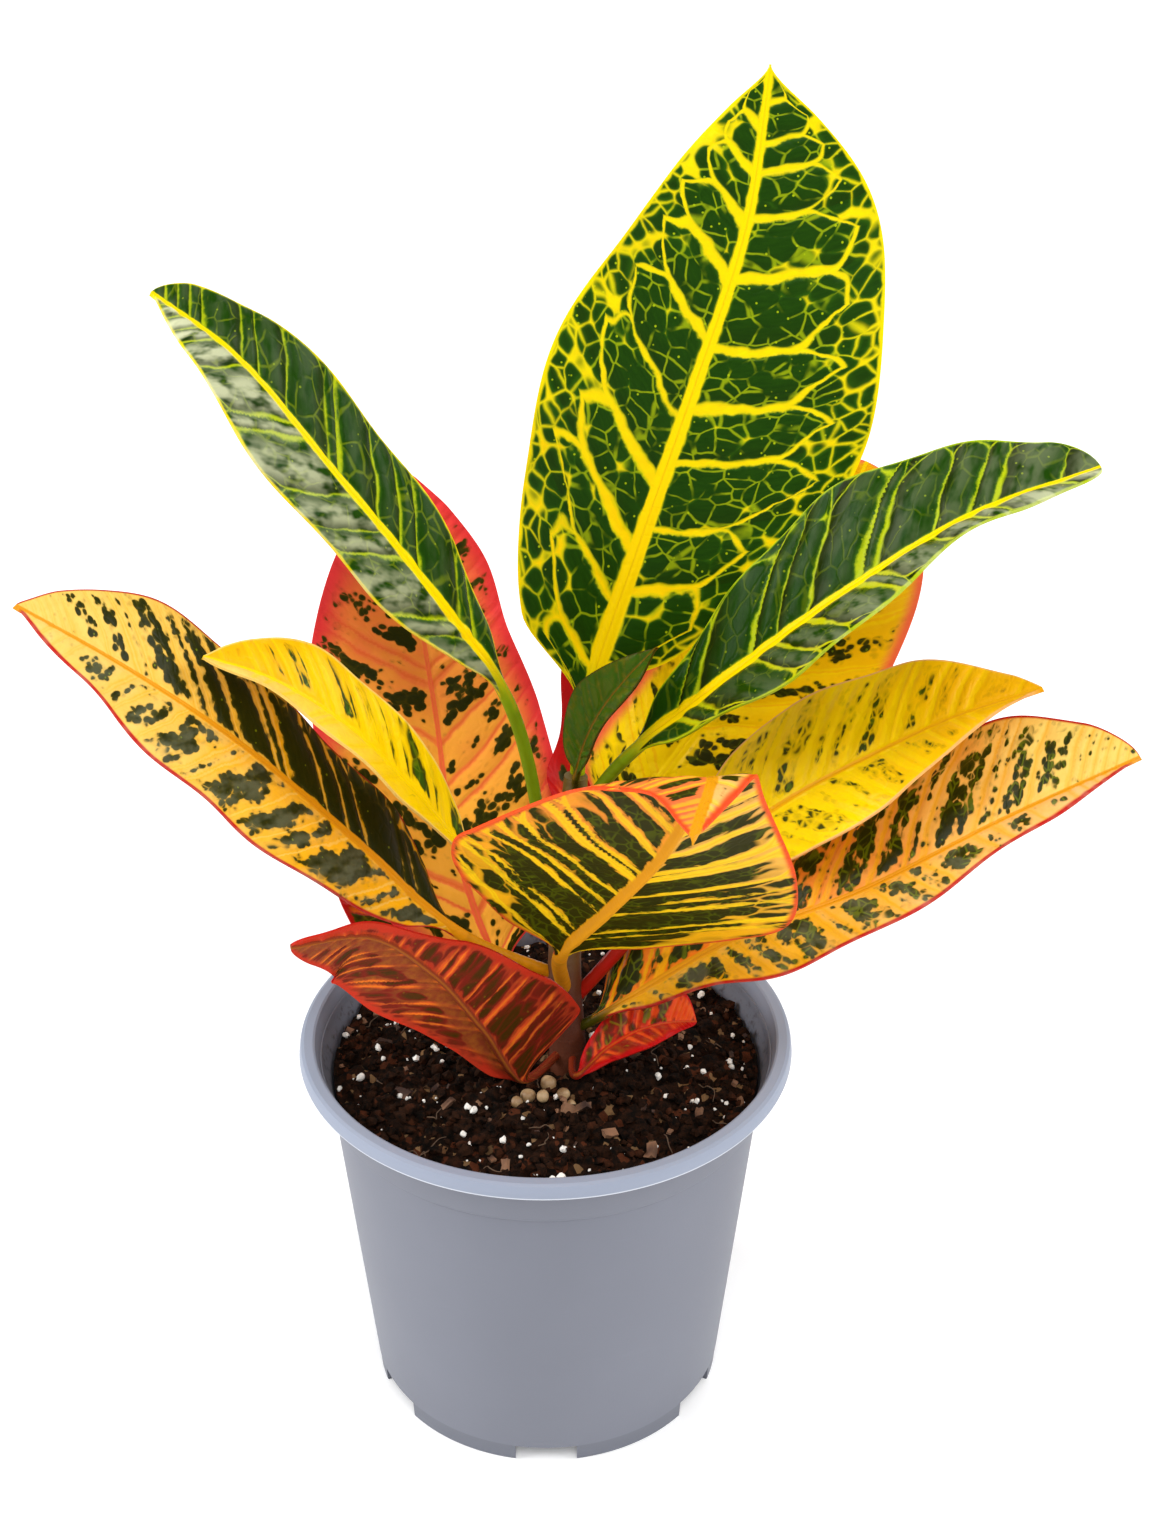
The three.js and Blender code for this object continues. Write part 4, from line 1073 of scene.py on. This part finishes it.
class CROTON_OT_pot(bpy.types.Operator):
    """Turns the pot from its profile, then cuts the notches of its foot and its drain holes"""

    bl_idname = "croton.pot"
    bl_label = "Pot"

    def execute(self, context):
        settings = context.scene.croton_pot
        count = settings.segments
        deselect()
        start_radius, start_height = POT_PROFILE[1]
        bpy.ops.mesh.primitive_circle_add(
            vertices=count, radius=start_radius * MM, location=(0, 0, start_height * MM)
        )
        bpy.ops.object.transform_apply(location=True)
        bpy.ops.object.mode_set(mode="EDIT")
        bpy.ops.mesh.select_all(action="SELECT")
        for (r0, z0), (r1, z1) in zip(POT_PROFILE[1:-2], POT_PROFILE[2:-1]):
            bpy.ops.mesh.extrude_region_move(
                TRANSFORM_OT_translate={"value": (0, 0, (z1 - z0) * MM)}
            )
            if r1 != r0:
                bpy.ops.transform.resize(
                    value=(r1 / r0, r1 / r0, 1), center_override=(0, 0, z1 * MM)
                )
        bpy.ops.mesh.select_all(action="SELECT")
        bpy.ops.mesh.fill_holes(sides=0)
        bpy.ops.mesh.normals_make_consistent(inside=False)
        bpy.ops.object.mode_set(mode="OBJECT")
        pot = settle(context.object, "fine_pot")
        self.cut(pot)
        soften(pot, 28)
        dress(pot, "pot", pot_finish(settings))
        return {"FINISHED"}

    def cut(self, pot):
        """Takes the notches and the drain holes out of the foot and the floor."""
        width = 2 * FOOT_RADIUS * math.sin(NOTCH_ANGLE / 2)
        cutters = []
        for i in range(NOTCHES):
            turn = math.radians(-90 + 360 / NOTCHES * i)
            out = Vector((math.cos(turn), math.sin(turn), 0))
            bpy.ops.mesh.primitive_cube_add(size=1, location=out * FOOT_RADIUS, rotation=(0, 0, turn))
            notch = bpy.context.object
            notch.scale = (NOTCH_DEPTH, width, 2 * FOOT_HEIGHT)
            cutters.append(notch)
            bpy.ops.mesh.primitive_cylinder_add(
                vertices=32, radius=DRAIN_RADIUS, depth=DRAIN_DEPTH,
                location=out * DRAIN_CIRCLE + Vector((0, 0, FOOT_HEIGHT + MM)),
            )
            cutters.append(bpy.context.object)
        cutter = join("pot_cutter", cutters)
        choose(pot)
        cut = pot.modifiers.new("cut", "BOOLEAN")
        cut.object = cutter
        cut.operation = "DIFFERENCE"
        cut.solver = "EXACT"
        bpy.ops.object.modifier_apply(modifier=cut.name)
        bpy.data.objects.remove(cutter)


# Heights and radii in metres between which a part of the pot takes its own shade.
LIP_FOOT = (0.1034, 0.1042)  # heights at the lip's lower edge
LIP_INSIDE = (0.059, 0.0605)  # radii at its inner edge
LIP_HIGHLIGHT_HEIGHT = 0.104  # the painted highlight along the lip's lower outer edge
LIP_HIGHLIGHT_REACH = (0.0005, 0.0001)  # how far up and down that line reaches
SHADED_FOOT = (0.0056, 0.0048)  # heights at the top of the foot, below which it is painted in shade
DUST_AND_SHADE = (0.1065, 0.0985)  # heights between which the inner wall gets painted shade and dust
FACING = (0.02, 0.04)  # how squarely a face turns outwards or inwards, times its radius


def pot_finish(settings):
    """Matte moulded plastic: fine grain and pale scuffs, a lip painted paler for the light on it, a painted
    highlight along its lower edge, painted shade on the foot and deep on the inner wall, and dust from the
    mix there.
    """
    f = Finish("pot_finish")
    coordinates = f.node("ShaderNodeTexCoord")
    place = coordinates.outputs["Object"]
    x, y, z = f.split(place)
    body = f.blend(f.noise(place, 28, 3), tuple(settings.shade), paint("737682"))
    radius = f.calc("SQRT", f.add(f.times(x, x), f.times(y, y)))
    # Painted light: the lip paler where the light falls on it.
    lip = f.times(f.ease(z, *LIP_FOOT), f.ease(radius, *LIP_INSIDE))
    body = f.blend(lip, body, tuple(settings.lit_lip_shade))
    turned_x, turned_y, _ = f.split(coordinates.outputs["Normal"])
    outward = f.add(f.times(turned_x, x), f.times(turned_y, y))  # above 0 on the outer wall
    # Painted shade: the foot darker below its top, where it turns down and in, away from the light.
    body = f.blend(f.times(f.ease(z, *SHADED_FOOT), 0.35), body, paint("50535C"))
    # Painted highlight: a pale line along the lip's lower outer edge.
    off_edge = f.calc("ABSOLUTE", f.minus(z, LIP_HIGHLIGHT_HEIGHT))
    lip_highlight = f.times(f.ease(outward, *FACING), f.ease(off_edge, *LIP_HIGHLIGHT_REACH))
    body = f.blend(f.times(lip_highlight, 0.7), body, paint("E4E8F0"))
    inside = f.times(f.ease(f.times(outward, -1.0), *FACING), f.ease(z, *DUST_AND_SHADE))
    dust = f.times(inside, f.ease(f.noise(place, 420, 4, 0.65), 0.48, 0.72))
    # Painted shade: the inner wall greyer and darker deeper down inside the pot.
    body = f.blend(f.times(inside, 0.35), body, paint("5D626D"))
    body = f.blend(f.times(dust, 0.75), body, paint("2C2019"))
    scuffs = f.ease(f.noise(f.pack(x, y, f.times(z, 5.0)), 60, 4, 0.7), 0.6, 0.85)
    body = f.blend(f.times(scuffs, 0.1), body, tuple(settings.lit_lip_shade))
    grain = f.noise(place, 1800, 2)
    return f.done(body, settings.roughness, f.bump(grain, 0.05 * MM, 0.4), Specular_IOR_Level=0.45)


class CROTON_OT_soil(bpy.types.Operator):
    """Builds the block of potting mix with its crumbly surface"""

    bl_idname = "croton.soil"
    bl_label = "Potting mix"

    def execute(self, context):
        settings = context.scene.croton_soil
        radii = [SOIL_EDGE * (k / SOIL_RINGS) ** RING_CROWD for k in range(1, SOIL_RINGS + 1)]
        rings = np.empty((len(radii) + 3, SOIL_SPOKES, 3))
        for j in range(SOIL_SPOKES):
            turn = 2 * math.pi * j / SOIL_SPOKES
            ray = Vector((math.cos(turn), math.sin(turn), 0))
            rings[0, j] = ray * 4 * MM + Vector((0, 0, SOIL_BOTTOM))
            rings[1, j] = ray * SOIL_FOOT + Vector((0, 0, SOIL_BOTTOM))
            rings[2, j] = ray * (SOIL_EDGE - 0.3 * MM) + Vector((0, 0, SOIL_LEVEL - 3 * MM))
            for k, radius in enumerate(reversed(radii)):
                at = ray * radius
                at.z = soil_height(at.x, at.y) + crumble(at, settings.relief)
                rings[3 + k, j] = at
        soil = skin("fine_soil", rings)
        soften(soil, 180)
        dress(soil, "soil", soil_finish(settings))
        return {"FINISHED"}


SOIL_LEVEL = 97.5 * MM
SOIL_EDGE = 56.3 * MM  # radius of its surface
SOIL_FOOT = 46.2 * MM  # radius on the pot's floor
SOIL_SPOKES = 260
SOIL_RINGS = 110
RING_CROWD = 0.85  # below 1, the rings lie closer together towards the edge


def soil_height(x, y):
    """Height of the mix at a place, in metres: mounded at the middle, and lumpy."""
    x, y = x / MM, y / MM
    lumps = math.sin(x * 0.43 + 1.3) * math.cos(y * 0.37)
    lumps += 0.6 * math.sin(x * 0.91 - y * 0.83) + 0.5 * math.cos(x * 0.71 + y * 1.13 + 2)
    return SOIL_LEVEL + (2.2 * (1 - (math.hypot(x, y) / 60.7) ** 2) + 0.8 * lumps) * MM


def crumble(at, relief):
    """Crumbs of the mix's own surface, in metres."""
    coarse = noise.fractal(at * 190, 0.9, 2.2, 3, noise_basis="PERLIN_ORIGINAL")
    fine = noise.noise(at * 950)
    return relief * (coarse + 0.35 * fine)


def soil_finish(settings):
    """Dark damp mix: near black in the hollows, brown on the crumbs, with reddish and tan flecks."""
    f = Finish("soil_finish")
    place = f.place()
    grain = f.noise(place, 420, 5, 0.65)
    shade = f.blend(f.ease(grain, 0.35, 0.7), tuple(settings.dark_shade), tuple(settings.light_shade))
    fleck = f.cells(place, 520, output="Color")
    reds, tans, _ = f.split(fleck)
    shade = f.blend(f.times(f.ease(reds, 0.86, 0.93), 0.6), shade, paint("5A2E1A"))
    shade = f.blend(f.times(f.ease(tans, 0.93, 0.97), 0.7), shade, paint("8A6A48"))
    normal = f.bump(f.noise(place, 1100, 6, 0.7), 0.5 * MM, 0.9)
    return f.done(shade, 0.85, normal, Specular_IOR_Level=0.08)


# ---- Operators: what lies on the mix -----------------------------------------------------------
FIBRE_RADII = [0.12, 0.18, 0.14, 0.08]
PELLETS = [  # round feed pellets, millimetres: x, y, radius
    (-4.5, -17.5, 2.3), (0.8, -14.6, 2.5), (4.6, -17.6, 2.1), (-0.6, -19.4, 1.9), (-7.4, -20.6, 1.9),
    (6.8, -21.5, 1.5),
]


def pebble(name, kind, scale, roughness, seed):
    """One grain, a metre across: a primitive squashed and roughened."""
    deselect()
    if kind == "chip":
        bpy.ops.mesh.primitive_cube_add(size=1)
        bpy.ops.object.mode_set(mode="EDIT")
        bpy.ops.mesh.subdivide(number_cuts=1)
        bpy.ops.object.mode_set(mode="OBJECT")
    else:
        bpy.ops.mesh.primitive_ico_sphere_add(subdivisions=1 if kind == "crumb" else 2, radius=0.5)
    piece = bpy.context.object
    piece.scale = scale
    settle(piece, name)
    for vertex in piece.data.vertices:
        push = noise.noise_vector(vertex.co * 2.3 + Vector((seed * 7.1, seed, 0)))
        vertex.co += push * roughness
    return piece


def scatter(name, shapes, places):
    """Copies of the shapes at (where, size, turn, tilt), as one mesh. The shapes are used up."""
    points, faces = [], []
    for k, (where, size, turn, tilt) in enumerate(places):
        shape = shapes[k % len(shapes)].data
        move = Matrix.Translation(where) @ Euler((tilt, tilt * 0.7, turn)).to_matrix().to_4x4()
        first = len(points)
        points += [move @ (v.co * size) for v in shape.vertices]
        faces += [[first + i for i in p.vertices] for p in shape.polygons]
    mesh = bpy.data.meshes.new(name)
    mesh.from_pydata(points, [], faces)
    mesh.update()
    piece = bpy.data.objects.new(name, mesh)
    bpy.context.scene.collection.objects.link(piece)
    for shape in shapes:
        bpy.data.objects.remove(shape)
    return piece


GRAIN_SPREAD = 0.985  # how near the mix's edge grains lie, as a share of its radius


def lay(draw, count, small, large, sink, clear_of_stem=6.5):
    """Places for grains on the mix: each with its size, its turn and its tilt."""
    stem_x, stem_y, _ = STEM_PATH[2]
    places = []
    while len(places) < count:
        reach = SOIL_EDGE / MM * math.sqrt(draw.random()) * GRAIN_SPREAD
        turn = 2 * math.pi * draw.random()
        x, y = reach * math.cos(turn), reach * math.sin(turn)
        size = (small + (large - small) * draw.random() ** 2.4) * MM
        if math.hypot(x - stem_x, y - stem_y) < clear_of_stem:
            continue
        z = soil_height(x * MM, y * MM) + (0.5 - sink) * size
        places.append((Vector((x * MM, y * MM, z)), size, 6.3 * draw.random(), 1.2 * draw.random()))
    return places


class CROTON_OT_grains(bpy.types.Operator):
    """Strews the mix with crumbs, perlite, bark chips, fine roots and feed pellets"""

    bl_idname = "croton.grains"
    bl_label = "Grains"

    def execute(self, context):
        settings = context.scene.croton_soil
        draw = random.Random(settings.seed)
        noise.seed_set(settings.seed)  # else the grains' shapes change from run to run
        crumb_shapes = [pebble("crumb", "crumb", (1, 0.8, 0.7), 0.3, k) for k in range(5)]
        crumbs = scatter("soil_crumbs", crumb_shapes, lay(draw, settings.crumbs, 0.7, 4.2, 0.25))
        self.finish(crumbs, crumb_finish(settings))
        grain_shapes = [pebble("grain", "grain", (1, 0.85, 0.75), 0.22, k) for k in range(5)]
        grains = scatter("perlite", grain_shapes, lay(draw, settings.grains, 0.5, 2.5, 0.05))
        soften(grains, 40)
        self.finish(grains, perlite_finish())
        chip_shapes = [pebble("chip", "chip", (1, 0.6, 0.32), 0.2, k) for k in range(6)]
        chips = scatter("bark_chips", chip_shapes, lay(draw, settings.chips, 1.4, 4.6, 0.15, 9))
        soften(chips, 30)
        self.finish(chips, bark_finish())
        self.finish(self.pellets(), pellet_finish())
        self.finish(self.fibres(draw, settings.fibres), fibre_finish())
        return {"FINISHED"}

    def finish(self, piece, material):
        dress(piece, None, material)

    def pellets(self):
        shape = pebble("pellet", "grain", (1, 0.92, 0.86), 0.05, 3)
        places = []
        for k, (x, y, radius) in enumerate(PELLETS):
            z = soil_height(x * MM, y * MM) + 0.55 * radius * MM
            places.append((Vector((x * MM, y * MM, z)), 2 * radius * MM, 1.7 * k, 0.3 * k))
        piece = scatter("feed_pellets", [shape], places)
        choose(piece)
        rounder = piece.modifiers.new("round", "SUBSURF")
        rounder.levels = rounder.render_levels = 1
        bpy.ops.object.modifier_apply(modifier=rounder.name)
        soften(piece, 180)
        return piece

    def fibres(self, draw, count):
        """Thin roots that wind over the crumbs."""
        parts = []
        for _ in range(count):
            where, size, turn, _ = lay(draw, 1, 5, 13, 0)[0]
            path = []
            for k in range(5):
                reach = size * (k / 4 - 0.5)
                bend = turn + 1.4 * (draw.random() - 0.5)
                x = where.x + reach * math.cos(bend)
                y = where.y + reach * math.sin(bend)
                limit = min(1, 0.97 * SOIL_EDGE / max(math.hypot(x, y), 1e-6))
                x, y = x * limit, y * limit
                lift = (0.9 + 1.3 * draw.random()) * MM
                path.append(Vector((x, y, soil_height(x, y) + lift)) / MM)
            parts.append(tube("fibre", path, FIBRE_RADII, stations=14, around=5))
        return join("fine_roots", parts)


def crumb_finish(settings):
    """Each crumb its own brown, dull and rough."""
    f = Finish("crumb_finish")
    place = f.place()
    pick = f.noise(place, 330, 3, 0.7)
    shade = f.blend(f.ease(pick, 0.35, 0.62), tuple(settings.dark_shade), tuple(settings.light_shade))
    shade = f.blend(f.times(f.ease(f.noise(place, 150, 2), 0.56, 0.66), 0.5), shade, paint("4A2716"))
    return f.done(shade, 0.88, f.bump(f.noise(place, 1500, 4, 0.7), 0.3 * MM, 0.8), Specular_IOR_Level=0.08)


def perlite_finish():
    """Chalky white grains with a little of the mix's brown on them."""
    f = Finish("perlite_finish")
    place = f.place()
    dirt = f.ease(f.noise(place, 520, 4, 0.65), 0.5, 0.75)
    shade = f.blend(f.times(dirt, 0.55), paint("F2EFE8"), paint("8C7C69"))
    return f.done(shade, 0.8, f.bump(f.noise(place, 1700, 4), 0.3 * MM, 0.7))


def bark_finish():
    """Tan to dark brown chips with a fibrous grain."""
    f = Finish("bark_finish")
    place = f.place()
    pick = f.noise(place, 95, 2)
    shade = f.blend(f.ease(pick, 0.38, 0.6), paint("3A2013"), paint("94694A"))
    shade = f.blend(f.times(f.noise(place, 900, 4, 0.7), 0.45), shade, paint("2E1A10"))
    return f.done(shade, 0.75, f.bump(f.noise(place, 1300, 4, 0.7), 0.3 * MM, 0.8))


def pellet_finish():
    """Smooth tan pellets with damp marks."""
    f = Finish("pellet_finish")
    place = f.place()
    shade = f.blend(f.ease(f.noise(place, 260, 3), 0.35, 0.65), paint("B79A72"), paint("8B6C48"))
    return f.done(shade, 0.5, f.bump(f.noise(place, 900, 3), 0.15 * MM, 0.5))


def fibre_finish():
    """Pale brown roots."""
    f = Finish("fibre_finish")
    shade = f.blend(f.noise(f.place(), 120, 2), paint("3E2A1C"), paint("6E5640"))
    return f.done(shade, 0.8)


# ---- Operator: the stage -----------------------------------------------------------------------
class CROTON_OT_stage(bpy.types.Operator):
    """Sets the plain floor, the soft lights and the camera"""

    bl_idname = "croton.stage"
    bl_label = "Stage"

    def execute(self, context):
        settings = context.scene.croton_stage
        deselect()
        bpy.ops.mesh.primitive_plane_add(size=settings.floor_size)
        floor = bpy.context.object
        floor.name = "floor"
        f = Finish("floor_finish")
        shade = f.blend(f.noise(f.place(), 3, 2), tuple(settings.floor_shade), paint("FDFDFD"))
        floor.data.materials.append(
            f.done(shade, 0.9, Specular_IOR_Level=0.1, Emission_Color=(1, 1, 1, 1), Emission_Strength=0.12)
        )
        self.light("key_light", (-1.6, -0.15, 0.9), settings.key_strength)
        self.light("fill_light", (1.4, -0.2, 0.8), settings.fill_strength)
        self.light("front_light", (0.1, -0.9, 1.2), settings.front_strength)
        self.light("back_light", (0.2, 1.0, 1.2), settings.back_strength)
        world = bpy.data.worlds.new("room")
        world.use_nodes = True
        background = world.node_tree.nodes["Background"]
        background.inputs["Color"].default_value = (1, 1, 1, 1)
        # The room is plain white where it is seen past the floor, and lights the plant less than that.
        rays = world.node_tree.nodes.new("ShaderNodeLightPath")
        seen = world.node_tree.nodes.new("ShaderNodeMapRange")
        seen.inputs["To Min"].default_value = settings.sky
        seen.inputs["To Max"].default_value = 1
        world.node_tree.links.new(rays.outputs["Is Camera Ray"], seen.inputs["Value"])
        world.node_tree.links.new(seen.outputs["Result"], background.inputs["Strength"])
        context.scene.world = world
        context.scene.view_settings.view_transform = "Standard"
        camera = bpy.data.objects.new("camera", bpy.data.cameras.new("camera"))
        context.scene.collection.objects.link(camera)
        camera.location = settings.camera_place
        camera.rotation_euler = (math.pi / 2 - settings.pitch, 0, 0)
        camera.data.lens = settings.lens
        camera.data.sensor_width = 36
        camera.data.clip_start = 0.01
        context.scene.camera = camera
        return {"FINISHED"}

    def light(self, name, place, strength):
        """A far, broad and soft light that shines from a place towards the plant."""
        data = bpy.data.lights.new(name, "SUN")
        data.angle = math.radians(35)
        data.energy = strength
        lamp = bpy.data.objects.new(name, data)
        bpy.context.scene.collection.objects.link(lamp)
        lamp.location = place
        lamp.rotation_euler = (-lamp.location).to_track_quat("-Z", "Y").to_euler()


# ---- The sidebar and the run -------------------------------------------------------------------
OPERATORS = (
    CROTON_OT_pot, CROTON_OT_soil, CROTON_OT_grains, CROTON_OT_stem, CROTON_OT_leaves, CROTON_OT_stage,
)
SETTINGS = {
    "croton_pot": CrotonPotSettings,
    "croton_soil": CrotonSoilSettings,
    "croton_leaf": CrotonLeafSettings,
    "croton_stage": CrotonStageSettings,
}


class CROTON_PT_sidebar(bpy.types.Panel):
    """Lists the croton's pieces and their settings"""

    bl_label = "Potted croton"
    bl_idname = "CROTON_PT_sidebar"
    bl_space_type = "VIEW_3D"
    bl_region_type = "UI"
    bl_category = "Croton"

    def draw(self, context):
        for operator in OPERATORS:
            self.layout.operator(operator.bl_idname)
        for key, group in SETTINGS.items():
            box = self.layout.box()
            box.label(text=group.__doc__)
            for name in group.__annotations__:
                box.prop(getattr(context.scene, key), name)


def register():
    for group in (*SETTINGS.values(), *OPERATORS, CROTON_PT_sidebar):
        bpy.utils.register_class(group)
    for key, group in SETTINGS.items():
        setattr(bpy.types.Scene, key, bpy.props.PointerProperty(type=group))


def unregister():
    for key in SETTINGS:
        delattr(bpy.types.Scene, key)
    for group in reversed((*SETTINGS.values(), *OPERATORS, CROTON_PT_sidebar)):
        bpy.utils.unregister_class(group)


def main():
    register()
    bpy.ops.croton.pot()
    bpy.ops.croton.soil()
    bpy.ops.croton.grains()
    bpy.ops.croton.stem()
    bpy.ops.croton.leaves()
    bpy.ops.croton.stage()


if __name__ == "__main__":
    main()
